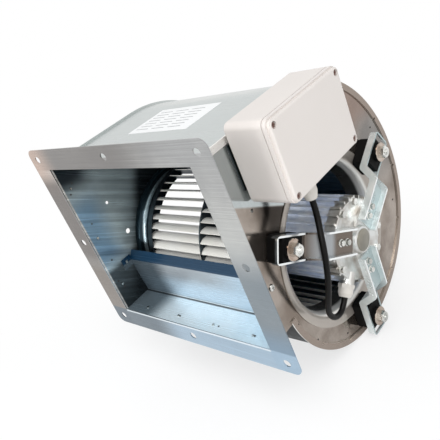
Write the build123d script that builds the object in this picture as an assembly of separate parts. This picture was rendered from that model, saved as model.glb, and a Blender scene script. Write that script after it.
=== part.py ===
from build123d import *
import math
import os

# A double inlet centrifugal fan with its motor in the near inlet.
# The rotor turns about a line along X, the motor is on the +X side, the outlet
# faces -Y and +Z is up. The origin is the middle of the outlet opening, on the
# front face of the outlet flange.

# Outlet flange and duct
OUTLET_WIDTH = 298.0
OUTLET_HEIGHT = 262.0
FLANGE_SIDE_LEG = 38.0
FLANGE_TOP_LEG = 32.5
FLANGE_THICK = 1.5
FLANGE_COLLAR = 24.0
FLANGE_CORNER_RADIUS = 12.0
BOLT_OUT_X = 19.0
BOLT_OUT_Z = 16.5
BOLT_HOLE_RADIUS = 5.5
RIVET_RADIUS = 2.0
RIVET_HEAD_RADIUS = 3.8
RIVET_HEAD_HEIGHT = 1.6
RIVET_LINE_Y = 15.0
RIVET_END_X = 39.5
RIVET_END_Z = 41.0
RIVET_COUNT_X = 4
RIVET_COUNT_Z = 3

# Scroll: four arcs about a small square round the rotor line
SHEET = 1.2
ROTOR_Y = 187.5
ROTOR_Z = -92.0
SCROLL_SQUARE = 29.0
RIM_STAND = 3.3
RIM_WIDTH = 9.0
RIM_THICK = 2.0
RIM_START_Z = -127.0
PUNCH_Y = 58.5
PUNCH_Z = 37.5
PUNCH_RADIUS = 2.6
NOTCH_SIZE = 3.0
NOTCH_FIRST = -160
NOTCH_LAST = 90
NOTCH_STEP = 27

# Cut-off plate
CUTOFF_CREASE_Y = 52.5
CUTOFF_LEAN = 4.0
TONGUE_Z = -64.0
TONGUE_LIP_Y = 58.5
TONGUE_LIP_Z = -53.0
TONGUE_RADIUS = 4.0
CREASE_RADIUS = 2.0
TAB_LENGTH = 17.0
TAB_HEIGHT = 22.0
TAB_SCREW_RADIUS = 2.4

# Inlet rings
INLET_ROLL = 16.0
INLET_HOLE_MARGIN = 1.0
INLET_FLANGE_WIDTH = 4.0
INLET_CURVE_RADIUS = 15.0
INLET_CURVE_ANGLE = 81.0
INLET_OVERLAP = 3.0

# Wheel
WHEEL_RADIUS = 120.0
BLADE_SPAN = 15.0
BLADE_COUNT = 48
BLADE_THICK = 1.0
BLADE_ROOT_ANGLE = 10.0
BLADE_TIP_ANGLE = 65.0
WHEEL_SIDE_GAP = 32.0
DISC_THICK = 2.0
RING_THICK = 1.5
RING_BAND = 9.0
RING_BAND_THICK = 1.0
RING_GAP = 0.3
HUB_FLANGE_RADIUS = 34.0
HUB_FLANGE_THICK = 5.0
HUB_RADIUS = 17.0
HUB_LENGTH = 26.0
HUB_RIVET_CIRCLE = 26.0
SET_SCREW_RADIUS = 3.0

# Motor
SHAFT_RADIUS = 7.5
SHAFT_FIT = 0.03
SHAFT_TIP_X = -26.0
MOTOR_STAND = 19.0
HOUSING_LENGTH = 106.0
HOUSING_RADIUS = 56.0
HOUSING_BORE = 50.0
FIN_HEIGHT = 4.0
FIN_WIDTH = 3.2
FIN_COUNT = 30
STATOR_LENGTH = 60.0
AIR_GAP = 0.5
ROTOR_RADIUS = 30.0
COIL_LENGTH = 14.0
COIL_INSET = 2.5
SHIELD_RIM = 17.0
SHIELD_POCKET = 7.0
SHIELD_DEPTH = 20.0
PAD_WIDTH = 36.0
HUB_BOSS_RADIUS = 18.5
HUB_BOSS_STAND = 5.5
BEARING_RADIUS = 17.5
BEARING_WIDTH = 11.0
BEARING_FIT = 0.03
SHIELD_SCREW_CIRCLE = 53.0
SHIELD_SCREW_SPREAD = 43.0
SHIELD_LUG_RADIUS = 6.5
FRONT_SHIELD_DEPTH = 14.0
FRONT_RIM = 8.0
FRONT_RIM_BEVEL = 2.0
FRONT_SEAT_FOOT = 14.0
FRONT_SEAT_WALL = 6.0

# Motor arms and their rubber blocks
ARM_ANGLES = {"outlet": 150.0, "upper": 30.0, "lower": -90.0}
ARM_SHEET = 2.5
ARM_HALF_WIDTH = 17.5
ARM_DEPTH = 10.0
ARM_ROOT = 22.0
ARM_BEND = 83.0
ARM_BEND_RUN = 17.0
ARM_BEYOND_STUD = 26.0
ARM_DROP = 21.5
ARM_CORNER = 6.0
ARM_BEND_RADIUS = 8.0
ARM_BRIDGE = 3.4
WINDOW_BEFORE_STUD = 24.0
ARM_SCREW_PLACES = (36.0, 50.0)
ARM_SCREW_RADIUS = 2.5
ARM_SCREW_LENGTH = 9.0
ARM_SCREW_HEAD = 4.4
STUD_OUT = 11.0
STUD_RADIUS = 4.0
BLOCK_BEFORE_STUD = 29.0
BLOCK_BEYOND_STUD = 14.5
BLOCK_FOOT_GAP = 2.0
BLOCK_FOOT_INSET = 1.5
BLOCK_SINK = 1.0
BUSH_RADIUS = 13.4
BUSH_RISE = 4.5
SOFT_GAP = 0.3
WASHER_RADIUS = 13.8
WASHER_THICK = 2.0
NUT_FLATS = 15.0
NUT_HEIGHT = 8.0
STUD_STAND = 2.0
STUD_HEAD_HEIGHT = 5.3

# Terminal box on the motor side plate
BOX_CENTRE_Y = 132.0
BOX_BELOW_TOP = 33.0
BOX_LENGTH = 148.0
BOX_HEIGHT = 103.0
BOX_STAND = 4.8
BOX_BASE_DEPTH = 53.5
BOX_COVER_DEPTH = 10.0
BOX_WALL = 2.5
BOX_CORNER = 9.0
GASKET_THICK = 1.0
COVER_STEP = 2.0
BOX_SCREW_INSET = 8.5
BOX_SCREW_RADIUS = 3.2
BRACKET_SHEET = 1.5
BRACKET_INSET = 15.0
BRACKET_HEIGHT = 58.0
BRACKET_DROP = 4.0
BRACKET_FOOT = 14.0
STRIP_POLES = 5
STRIP_PITCH = 12.0
STRIP_DEPTH = 18.0
STRIP_HEIGHT = 22.0
STRIP_RISE = 12.0
CAPACITOR_RADIUS = 15.0
CAPACITOR_LENGTH = 62.0
CAPACITOR_DROP = 16.0

# Cable and its two glands
CABLE_DIAMETER = 8.0
BOX_GLAND_OUT = 33.0
BOX_GLAND_Y = 122.0
BOX_GLAND_LENGTH = 30.5
GLAND_RADIUS = 11.0
GLAND_NECK_RADIUS = 8.5
GLAND_BACK = 10.0
MOTOR_GLAND_ANGLE = -135.0
GLAND_BOSS_END = 62.0
MOTOR_GLAND_END = 80.0
CABLE_WAYPOINTS = [
    (188.0, 122.0, -2.0),
    (194.0, 110.0, -22.0),
    (201.0, 96.0, -44.0),
    (199.0, 91.0, -72.0),
    (192.0, 89.5, -101.0),
    (183.5, 89.0, -126.0),
    (178.5, 90.0, -141.0),
    (178.0, 95.5, -154.2),
    (178.0, 107.3, -161.2),
]
CABLE_LEAD = 14.0

CLEARANCE = 0.1

# What follows from the sizes above
HALF_WIDTH = OUTLET_WIDTH / 2
HALF_HEIGHT = OUTLET_HEIGHT / 2
BOLT_PITCH_X = OUTLET_WIDTH + 2 * BOLT_OUT_X
BOLT_PITCH_Z = OUTLET_HEIGHT + 2 * BOLT_OUT_Z
PLATE_OUT_X = HALF_WIDTH + SHEET
WHEEL_HALF_WIDTH = HALF_WIDTH - WHEEL_SIDE_GAP
INLET_END_X = WHEEL_HALF_WIDTH - INLET_OVERLAP
BLADE_ROOT_RADIUS = WHEEL_RADIUS - BLADE_SPAN
INLET_LIP_RADIUS = BLADE_ROOT_RADIUS + INLET_ROLL
INLET_HOLE_RADIUS = INLET_LIP_RADIUS + INLET_HOLE_MARGIN
INLET_FLANGE_RADIUS = INLET_HOLE_RADIUS + INLET_FLANGE_WIDTH
STUD_CIRCLE = INLET_FLANGE_RADIUS + STUD_OUT
ARM_END = STUD_CIRCLE + ARM_BEYOND_STUD
WINDOW_START = STUD_CIRCLE - WINDOW_BEFORE_STUD
BLOCK_START = STUD_CIRCLE - BLOCK_BEFORE_STUD
BLOCK_END = STUD_CIRCLE + BLOCK_BEYOND_STUD
BLOCK_FOOT_START = INLET_FLANGE_RADIUS + BLOCK_FOOT_GAP
BLOCK_FOOT_END = BLOCK_END - BLOCK_FOOT_INSET
HOUSING_END_X = HALF_WIDTH + MOTOR_STAND
HOUSING_START_X = HOUSING_END_X - HOUSING_LENGTH
COLLAR_END_Y = FLANGE_THICK + FLANGE_COLLAR
FIRST_ARC = HALF_HEIGHT - ROTOR_Z - 2.5 * SCROLL_SQUARE
MOTOR_FACE_X = HOUSING_END_X + SHIELD_DEPTH
BLOCK_SEAT_X = PLATE_OUT_X + RIM_THICK + SOFT_GAP
ARM_LOW_X = MOTOR_FACE_X - ARM_DROP
ARM_TOP_X = ARM_LOW_X + ARM_DEPTH
BLOCK_TOP_X = ARM_TOP_X - BLOCK_SINK
BUSH_TOP_X = BLOCK_TOP_X + BUSH_RISE
WASHER_SEAT_X = BUSH_TOP_X + SOFT_GAP
BOX_BACK_X = PLATE_OUT_X + BOX_STAND
BOX_CENTRE_Z = HALF_HEIGHT - BOX_BELOW_TOP
BRACKET_LENGTH = BOX_LENGTH - 2 * BRACKET_INSET
BOX_BASE_X = BOX_BACK_X + BOX_BASE_DEPTH
COVER_X = BOX_BASE_X + GASKET_THICK
BOX_FACE_X = COVER_X + BOX_COVER_DEPTH
BOX_BOTTOM_Z = BOX_CENTRE_Z - BOX_HEIGHT / 2
BOX_GLAND_X = BOX_BACK_X + BOX_GLAND_OUT
MOTOR_GLAND_X = MOTOR_FACE_X - GLAND_BACK
CABLE_START = (BOX_GLAND_X, BOX_GLAND_Y, BOX_BOTTOM_Z - BOX_GLAND_LENGTH)

ROTOR_LINE = Axis((0, ROTOR_Y, ROTOR_Z), (1, 0, 0))
# Local x runs along the rotor line and local y is the distance from it.
RADIAL = Plane(origin=(0, ROTOR_Y, ROTOR_Z), x_dir=(1, 0, 0), z_dir=(0, -1, 0))
# Local x is the distance from the rotor line and local y runs along it.
ARM_SIDE = Plane(origin=(0, ROTOR_Y, ROTOR_Z), x_dir=(0, 1, 0), z_dir=(0, 0, -1))


def write(name, shape):
    """Save one named piece, or a group of like pieces."""
    export_step(shape, os.path.join("parts", name + ".step"))


def across(x):
    """Plane square to the rotor line at x: local x is Y and local y is Z."""
    return Plane.YZ.offset(x)


def at_rotor(x):
    """Like across, with its centre on the rotor line."""
    return Plane(origin=(x, ROTOR_Y, ROTOR_Z), x_dir=(0, 1, 0), z_dir=(1, 0, 0))


def disc(x_from, x_to, radius, bore=0.0):
    """Round plate or tube about the rotor line."""
    face = Circle(radius)
    if bore:
        face = face - Circle(bore)
    return extrude(at_rotor(x_from) * face, amount=x_to - x_from)


def turned(points):
    """Turn a closed outline of (x, radius) points about the rotor line."""
    return revolve(RADIAL * make_face(Polyline(*points, close=True)), ROTOR_LINE, 360)


def block(low, high):
    """Box between two corners."""
    size = [b - a for a, b in zip(low, high)]
    centre = [(a + b) / 2 for a, b in zip(low, high)]
    return Pos(*centre) * Box(*size)


def round_rod(start, end, radius):
    """Cylinder from one point to another."""
    line = Vector(*end) - Vector(*start)
    return extrude(Plane(origin=start, z_dir=line) * Circle(radius), amount=line.length)


def hexagon(start, direction, flats, height):
    """Hexagonal head or nut standing on a point."""
    face = Plane(origin=start, z_dir=direction) * RegularPolygon(flats / math.sqrt(3), 6)
    return extrude(face, amount=height)


def turn(shape, angle):
    """Turn a piece about the rotor line; 0 points at +Y and 90 at +Z."""
    return shape.rotate(ROTOR_LINE, angle)


def mirrored(shape):
    """The same piece on the other side of the fan."""
    return mirror(shape, Plane.YZ)


def group(shapes):
    """Several separate solids in one node."""
    solids = [solid for shape in shapes for solid in shape.solids()]
    return Compound(children=solids)


# Casing

def scroll_region(grow):
    """Face inside the scroll and under the top plate, grown by an amount."""
    half = SCROLL_SQUARE / 2
    low_centre = Vector(ROTOR_Y + half, ROTOR_Z - half)
    back_centre = Vector(ROTOR_Y + half, ROTOR_Z + half)
    top_centre = Vector(ROTOR_Y - half, ROTOR_Z + half)
    radius_low = FIRST_ARC + grow
    radius_back = radius_low + SCROLL_SQUARE
    radius_top = radius_back + SCROLL_SQUARE
    start = low_centre + Vector(-radius_low, 0)
    top = top_centre + Vector(0, radius_top)
    edges = [
        CenterArc((low_centre.X, low_centre.Y), radius_low, 180, 90),
        CenterArc((back_centre.X, back_centre.Y), radius_back, 270, 90),
        CenterArc((top_centre.X, top_centre.Y), radius_top, 0, 90),
        Line((top.X, top.Y), (FLANGE_THICK, top.Y)),
        Line((FLANGE_THICK, top.Y), (FLANGE_THICK, start.Y)),
        Line((FLANGE_THICK, start.Y), (start.X, start.Y)),
    ]
    return make_face(Wire(edges))


def flat_box(y_from, y_to, z_from, z_to):
    """Rectangle in the Y and Z directions."""
    centre = Pos((y_from + y_to) / 2, (z_from + z_to) / 2)
    return centre * Rectangle(y_to - y_from, z_to - z_from)


def scroll_wrapper():
    """Spiral sheet and top plate, with a seam rim over each side plate."""
    floor_under = -HALF_HEIGHT - SHEET
    duct_gap = flat_box(0, ROTOR_Y, floor_under, HALF_HEIGHT)
    strip = scroll_region(SHEET) - scroll_region(0) - duct_gap
    wrapper = extrude(across(-PLATE_OUT_X) * strip, amount=2 * PLATE_OUT_X)
    rim_out = SHEET + RIM_STAND
    rim = scroll_region(rim_out) - scroll_region(rim_out - RIM_WIDTH)
    rim -= flat_box(0, ROTOR_Y, RIM_START_Z, HALF_HEIGHT - 2 * RIM_WIDTH)
    rim -= flat_box(0, COLLAR_END_Y + 1, 0, 2 * HALF_HEIGHT)
    band = extrude(across(PLATE_OUT_X) * rim, amount=RIM_THICK)
    for angle in range(NOTCH_FIRST, NOTCH_LAST, NOTCH_STEP):
        distance = scroll_distance(angle, rim_out - RIM_WIDTH)
        notch = Pos(PLATE_OUT_X, ROTOR_Y + distance, ROTOR_Z) * Box(3 * RIM_THICK, 2 * NOTCH_SIZE, NOTCH_SIZE)
        band -= turn(notch, angle)
    wrapper = wrapper + band + mirrored(band)
    for x in flange_rivet_rows():
        top = HALF_HEIGHT + 2 * SHEET
        low = (x, RIVET_LINE_Y, HALF_HEIGHT - 1)
        wrapper -= round_rod(low, (x, RIVET_LINE_Y, top), RIVET_RADIUS + CLEARANCE)
    return wrapper


def scroll_distance(angle, grow):
    """Distance from the rotor line to the scroll at an angle from -180 to 90."""
    half = SCROLL_SQUARE / 2
    centre_y = half if angle < 0 else -half
    centre_z = half if angle > -90 else -half
    radius = FIRST_ARC + grow + SCROLL_SQUARE * (2 if angle >= 0 else 1 if angle > -90 else 0)
    direction = math.radians(angle)
    along = centre_y * math.cos(direction) + centre_z * math.sin(direction)
    beside = centre_y * math.sin(direction) - centre_z * math.cos(direction)
    return along + math.sqrt(radius ** 2 - beside ** 2)


def side_plate():
    """Flat side plate, punched the same on both sides: inlet, stud, screw and service holes."""
    duct = flat_box(FLANGE_THICK, ROTOR_Y, -HALF_HEIGHT - SHEET, HALF_HEIGHT)
    outline = scroll_region(0) + duct
    plate = extrude(across(HALF_WIDTH) * outline, amount=SHEET)
    plate -= disc(HALF_WIDTH - 1, PLATE_OUT_X + 1, INLET_HOLE_RADIUS)
    for y, z in cutoff_screw_places():
        plate -= x_rod(HALF_WIDTH - 1, PLATE_OUT_X + 1, y, z, TAB_SCREW_RADIUS + CLEARANCE)
    for y, z in flange_rivet_sides():
        plate -= x_rod(HALF_WIDTH - 1, PLATE_OUT_X + 1, y, z, RIVET_RADIUS + CLEARANCE)
    for angle in ARM_ANGLES.values():
        plate -= off_axis_rod(HALF_WIDTH - 1, PLATE_OUT_X + 1, STUD_CIRCLE, angle, STUD_RADIUS + CLEARANCE)
    return plate - x_rod(HALF_WIDTH - 1, PLATE_OUT_X + 1, PUNCH_Y, PUNCH_Z, PUNCH_RADIUS)


def x_rod(x_from, x_to, y, z, radius):
    """Rod along X."""
    return round_rod((x_from, y, z), (x_to, y, z), radius)


def flange_rivet_sides():
    """Places of the rivets in the side plates."""
    pitch = (OUTLET_HEIGHT - 2 * RIVET_END_Z) / (RIVET_COUNT_Z - 1)
    first = RIVET_END_Z - HALF_HEIGHT
    return [(RIVET_LINE_Y, first + step * pitch) for step in range(RIVET_COUNT_Z)]


def flange_rivet_rows():
    """Places along X of the rivets in the top plate and the floor."""
    pitch = (OUTLET_WIDTH - 2 * RIVET_END_X) / (RIVET_COUNT_X - 1)
    first = RIVET_END_X - HALF_WIDTH
    return [first + step * pitch for step in range(RIVET_COUNT_X)]


def cutoff_screw_places():
    """Where the tab of the cut-off plate is screwed to a side plate."""
    tab_y = CUTOFF_CREASE_Y - CUTOFF_LEAN - TAB_LENGTH / 2
    return [(tab_y, TONGUE_Z)]


def outlet_flange():
    """L-section frame: a flat leg with bolt holes and a collar round the duct."""
    frame_plane = Plane(origin=(0, FLANGE_THICK, 0), x_dir=(1, 0, 0), z_dir=(0, -1, 0))
    outer = RectangleRounded(
        OUTLET_WIDTH + 2 * FLANGE_SIDE_LEG,
        OUTLET_HEIGHT + 2 * FLANGE_TOP_LEG,
        FLANGE_CORNER_RADIUS,
    )
    leg = outer - Rectangle(OUTLET_WIDTH, OUTLET_HEIGHT)
    for x, z in flange_holes():
        leg -= Pos(x, z) * Circle(BOLT_HOLE_RADIUS)
    flange = extrude(frame_plane * leg, amount=FLANGE_THICK)
    duct_x = 2 * PLATE_OUT_X
    duct_z = OUTLET_HEIGHT + 2 * SHEET
    collar = Rectangle(duct_x + 2 * FLANGE_THICK, duct_z + 2 * FLANGE_THICK)
    collar -= Rectangle(duct_x, duct_z)
    flange += extrude(frame_plane * collar, amount=-FLANGE_COLLAR)
    return flange - group(rivet_shanks(RIVET_RADIUS + CLEARANCE))


def flange_holes():
    """Four corner holes and one in the middle of each leg."""
    half_x = BOLT_PITCH_X / 2
    half_z = BOLT_PITCH_Z / 2
    corners = [(sx * half_x, sz * half_z) for sx in (-1, 1) for sz in (-1, 1)]
    return corners + [(-half_x, 0), (half_x, 0), (0, -half_z), (0, half_z)]


def rivet_shanks(radius):
    """Shanks through the collar and the sheet inside it."""
    shanks = []
    reach_x = PLATE_OUT_X + FLANGE_THICK
    reach_z = HALF_HEIGHT + SHEET + FLANGE_THICK
    for y, z in flange_rivet_sides():
        for side in (-1, 1):
            shanks.append(round_rod((side * HALF_WIDTH, y, z), (side * reach_x, y, z), radius))
    for x in flange_rivet_rows():
        for side in (-1, 1):
            low = (x, RIVET_LINE_Y, side * HALF_HEIGHT)
            high = (x, RIVET_LINE_Y, side * reach_z)
            shanks.append(round_rod(low, high, radius))
    return shanks


def flange_rivets():
    """Shanks with a domed head outside the collar."""
    rivets = []
    reach_x = PLATE_OUT_X + FLANGE_THICK
    reach_z = HALF_HEIGHT + SHEET + FLANGE_THICK
    for shank in rivet_shanks(RIVET_RADIUS):
        middle = shank.center()
        if abs(middle.X) > HALF_WIDTH:
            seat = Vector(math.copysign(reach_x, middle.X), middle.Y, middle.Z)
            out = Vector(math.copysign(1, middle.X), 0, 0)
        else:
            seat = Vector(middle.X, middle.Y, math.copysign(reach_z, middle.Z))
            out = Vector(0, 0, math.copysign(1, middle.Z))
        head = Plane(origin=seat, z_dir=out) * Cone(
            RIVET_HEAD_RADIUS,
            RIVET_RADIUS,
            RIVET_HEAD_HEIGHT,
            align=(Align.CENTER, Align.CENTER, Align.MIN),
        )
        rivets.append(shank + head)
    return group(rivets)


def cutoff_plate():
    """Duct floor, riser and curled tongue in one bent sheet, with two end tabs."""
    riser_top_y = CUTOFF_CREASE_Y - CUTOFF_LEAN
    path = FilletPolyline(
        (FLANGE_THICK, -HALF_HEIGHT),
        (CUTOFF_CREASE_Y, -HALF_HEIGHT),
        (riser_top_y, TONGUE_Z),
        (TONGUE_LIP_Y, TONGUE_LIP_Z),
        radius=(CREASE_RADIUS, TONGUE_RADIUS),
    )
    section = make_face(offset(path, amount=SHEET, side=Side.RIGHT, closed=True))
    plate = extrude(across(-HALF_WIDTH) * section, amount=OUTLET_WIDTH)
    tab_low = TONGUE_Z - TAB_HEIGHT / 2
    tab_high = TONGUE_Z + TAB_HEIGHT / 2
    low = (HALF_WIDTH - SHEET, riser_top_y - TAB_LENGTH, tab_low)
    high = (HALF_WIDTH, CUTOFF_CREASE_Y - CUTOFF_LEAN / 2, tab_high - TONGUE_RADIUS)
    tab = block(low, high)
    for y, z in cutoff_screw_places():
        tab -= x_rod(low[0] - 1, high[0] + 1, y, z, TAB_SCREW_RADIUS + CLEARANCE)
    plate = plate + tab + mirrored(tab)
    floor_holes = [
        round_rod((x, RIVET_LINE_Y, -HALF_HEIGHT - 2 * SHEET), (x, RIVET_LINE_Y, -HALF_HEIGHT + 1),
                  RIVET_RADIUS + CLEARANCE)
        for x in flange_rivet_rows()
    ]
    return plate - group(floor_holes)


def cutoff_screws():
    """One pan-head screw through each side plate into a tab."""
    screws = []
    for y, z in cutoff_screw_places():
        shank = x_rod(HALF_WIDTH - 2 * SHEET, PLATE_OUT_X, y, z, TAB_SCREW_RADIUS)
        head = x_rod(PLATE_OUT_X, PLATE_OUT_X + 2.4, y, z, 2 * TAB_SCREW_RADIUS)
        screws.append(shank + head)
    return group(screws + [mirrored(screw) for screw in screws])


def inlet_ring():
    """Bellmouth of the motor side: a flat lip, a rolled entry and a tapered throat."""
    sweep = math.radians(INLET_CURVE_ANGLE)
    centre_x = PLATE_OUT_X + SHEET - INLET_CURVE_RADIUS
    slope = math.tan(math.pi / 2 - sweep)

    def side(radius):
        end_x = centre_x + radius * math.cos(sweep)
        end_r = INLET_LIP_RADIUS - radius * math.sin(sweep)
        mid = sweep / 2
        arc = ThreePointArc(
            (centre_x + radius, INLET_LIP_RADIUS),
            (centre_x + radius * math.cos(mid), INLET_LIP_RADIUS - radius * math.sin(mid)),
            (end_x, end_r),
        )
        return arc, (INLET_END_X, end_r - slope * (end_x - INLET_END_X))

    outer_arc, outer_end = side(INLET_CURVE_RADIUS)
    inner_arc, inner_end = side(INLET_CURVE_RADIUS - SHEET)
    lip_out = (PLATE_OUT_X + SHEET, INLET_FLANGE_RADIUS)
    lip_in = (PLATE_OUT_X, INLET_FLANGE_RADIUS)
    edges = [
        Line(lip_out, outer_arc @ 0),
        outer_arc,
        Line(outer_arc @ 1, outer_end),
        Line(outer_end, inner_end),
        Line(inner_end, inner_arc @ 1),
        inner_arc,
        Line(inner_arc @ 0, lip_in),
        Line(lip_in, lip_out),
    ]
    return revolve(RADIAL * make_face(Wire(edges)), ROTOR_LINE, 360)


# Wheel

def blade_outline():
    """Section of one forward-curved blade, with its root on local x."""
    root = math.radians(BLADE_ROOT_ANGLE)
    tip = math.radians(BLADE_TIP_ANGLE)
    height = WHEEL_RADIUS - RING_BAND_THICK - BLADE_ROOT_RADIUS
    bend = height / (math.sin(tip) - math.sin(root))
    centre = Vector(BLADE_ROOT_RADIUS - bend * math.sin(root), bend * math.cos(root))

    def point(angle, radius):
        return (centre.X + radius * math.sin(angle), centre.Y - radius * math.cos(angle))

    def arc(radius):
        middle = (root + tip) / 2
        return ThreePointArc(point(root, radius), point(middle, radius), point(tip, radius))

    outer = arc(bend + BLADE_THICK / 2)
    inner = arc(bend - BLADE_THICK / 2)
    edges = [outer, Line(outer @ 1, inner @ 1), inner, Line(inner @ 0, outer @ 0)]
    return make_face(Wire(edges))


def blades(x_from, x_to):
    """One half of the wheel's blades, each a separate strip."""
    blade = extrude(at_rotor(x_from) * blade_outline(), amount=x_to - x_from)
    pitch = 360 / BLADE_COUNT
    return group([turn(blade, step * pitch) for step in range(BLADE_COUNT)])


def wheel_ring():
    """End ring on the motor side: a flat annulus with a band round the blade tips."""
    face_x = WHEEL_HALF_WIDTH - RING_THICK
    band_radius = WHEEL_RADIUS + RING_GAP
    return turned([
        (WHEEL_HALF_WIDTH, BLADE_ROOT_RADIUS),
        (WHEEL_HALF_WIDTH, band_radius + RING_BAND_THICK),
        (WHEEL_HALF_WIDTH - RING_BAND, band_radius + RING_BAND_THICK),
        (WHEEL_HALF_WIDTH - RING_BAND, band_radius),
        (face_x, band_radius),
        (face_x, BLADE_ROOT_RADIUS),
    ])


def hub_rivet_places():
    """Angles of the rivets that hold the disc to the hub."""
    return [step * 60 for step in range(6)]


def off_axis_rod(x_from, x_to, distance, angle, radius):
    """Rod along X at a distance and angle from the rotor line."""
    return turn(x_rod(x_from, x_to, ROTOR_Y + distance, ROTOR_Z, radius), angle)


def wheel_centre_disc():
    """Flat disc that carries both halves of the blades."""
    half = DISC_THICK / 2
    plate = disc(-half, half, WHEEL_RADIUS, HUB_RADIUS + CLEARANCE)
    for angle in hub_rivet_places():
        plate -= off_axis_rod(-half - 1, half + 1, HUB_RIVET_CIRCLE, angle, RIVET_RADIUS + CLEARANCE)
    return plate


def wheel_hub():
    """Flanged hub on the shaft, with a cross hole for the set screw."""
    face = DISC_THICK / 2
    hub = disc(face, face + HUB_FLANGE_THICK, HUB_FLANGE_RADIUS)
    hub += disc(face + HUB_FLANGE_THICK - HUB_LENGTH, face + HUB_FLANGE_THICK, HUB_RADIUS)
    hub -= disc(-HUB_LENGTH - 1, HUB_LENGTH, SHAFT_RADIUS + SHAFT_FIT)
    for angle in hub_rivet_places():
        hub -= off_axis_rod(face - 1, face + HUB_FLANGE_THICK + 1, HUB_RIVET_CIRCLE, angle,
                            RIVET_RADIUS + CLEARANCE)
    return hub - set_screw(SET_SCREW_RADIUS + CLEARANCE)


def set_screw_x():
    """Where the set screw crosses the hub."""
    return DISC_THICK / 2 + HUB_FLANGE_THICK - HUB_LENGTH + 2.5 * SET_SCREW_RADIUS


def set_screw(radius):
    """Headless screw that bears on the shaft."""
    start = (set_screw_x(), ROTOR_Y, ROTOR_Z + SHAFT_RADIUS + SHAFT_FIT)
    end = (set_screw_x(), ROTOR_Y, ROTOR_Z + HUB_RADIUS + 1)
    return round_rod(start, end, radius)


def hub_rivets():
    """Rivets through the disc and the hub flange."""
    half = DISC_THICK / 2
    far = half + HUB_FLANGE_THICK
    rivets = []
    for angle in hub_rivet_places():
        rivet = off_axis_rod(-half, far, HUB_RIVET_CIRCLE, angle, RIVET_RADIUS)
        rivet += off_axis_rod(far, far + RIVET_HEAD_HEIGHT, HUB_RIVET_CIRCLE, angle, RIVET_HEAD_RADIUS)
        rivet += off_axis_rod(-half - RIVET_HEAD_HEIGHT, -half, HUB_RIVET_CIRCLE, angle,
                              RIVET_HEAD_RADIUS)
        rivets.append(rivet)
    return group(rivets)


# Motor

def bearing_seats():
    """Start of the inner and of the outer bearing along X."""
    inner = HOUSING_START_X - BEARING_WIDTH
    return inner, HOUSING_END_X


def motor_shaft():
    """Shaft from the hub to the outer bearing."""
    end = bearing_seats()[1] + BEARING_WIDTH
    return chamfer(disc(SHAFT_TIP_X, end, SHAFT_RADIUS).edges(), 0.8)


def stator_span():
    """Start and end of the stator and rotor cores along X."""
    middle = (HOUSING_START_X + HOUSING_END_X) / 2
    return middle - STATOR_LENGTH / 2, middle + STATOR_LENGTH / 2


def finned_section():
    """Round section with fins, shared by the housing and the outer shield."""
    section = Circle(HOUSING_RADIUS)
    fin = Pos(HOUSING_RADIUS + FIN_HEIGHT / 2 - 1, 0) * Rectangle(FIN_HEIGHT + 2, FIN_WIDTH)
    pitch = 360 / FIN_COUNT
    for step in range(FIN_COUNT):
        section += Rot(0, 0, (step + 0.5) * pitch) * fin
    return section


def motor_housing():
    """Extruded tube with fins along it."""
    section = finned_section() - Circle(HOUSING_BORE)
    return extrude(at_rotor(HOUSING_START_X) * section, amount=HOUSING_END_X - HOUSING_START_X)


def motor_stator():
    """Laminated core pressed into the housing."""
    start, end = stator_span()
    return disc(start, end, HOUSING_BORE - SHAFT_FIT, ROTOR_RADIUS + AIR_GAP)


def motor_windings():
    """Two coil heads, one at each end of the stator core."""
    start, end = stator_span()
    radius = HOUSING_BORE - COIL_INSET
    bore = ROTOR_RADIUS + COIL_INSET
    heads = [disc(start - COIL_LENGTH, start, radius, bore), disc(end, end + COIL_LENGTH, radius, bore)]
    return group([chamfer(head.edges(), COIL_INSET) for head in heads])


def motor_rotor():
    """Rotor core on the shaft."""
    start, end = stator_span()
    return disc(start, end, ROTOR_RADIUS, SHAFT_RADIUS + SHAFT_FIT)


def bearing(start):
    """Ball bearing with a sunk shield on each face."""
    end = start + BEARING_WIDTH
    inner = SHAFT_RADIUS + SHAFT_FIT
    outer = BEARING_RADIUS
    step = (outer - inner) / 4
    sunk = 0.8
    return turned([
        (start, inner), (start, inner + step), (start + sunk, inner + step),
        (start + sunk, outer - step), (start, outer - step), (start, outer),
        (end, outer), (end, outer - step), (end - sunk, outer - step),
        (end - sunk, inner + step), (end, inner + step), (end, inner),
    ])


def shield_screw_angles():
    """Two screws beside each arm, but none under the motor gland."""
    angles = [angle + side * SHIELD_SCREW_SPREAD for angle in ARM_ANGLES.values() for side in (-1, 1)]
    return [angle for angle in angles if abs(angle - MOTOR_GLAND_ANGLE) > SHIELD_SCREW_SPREAD / 2]


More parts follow.
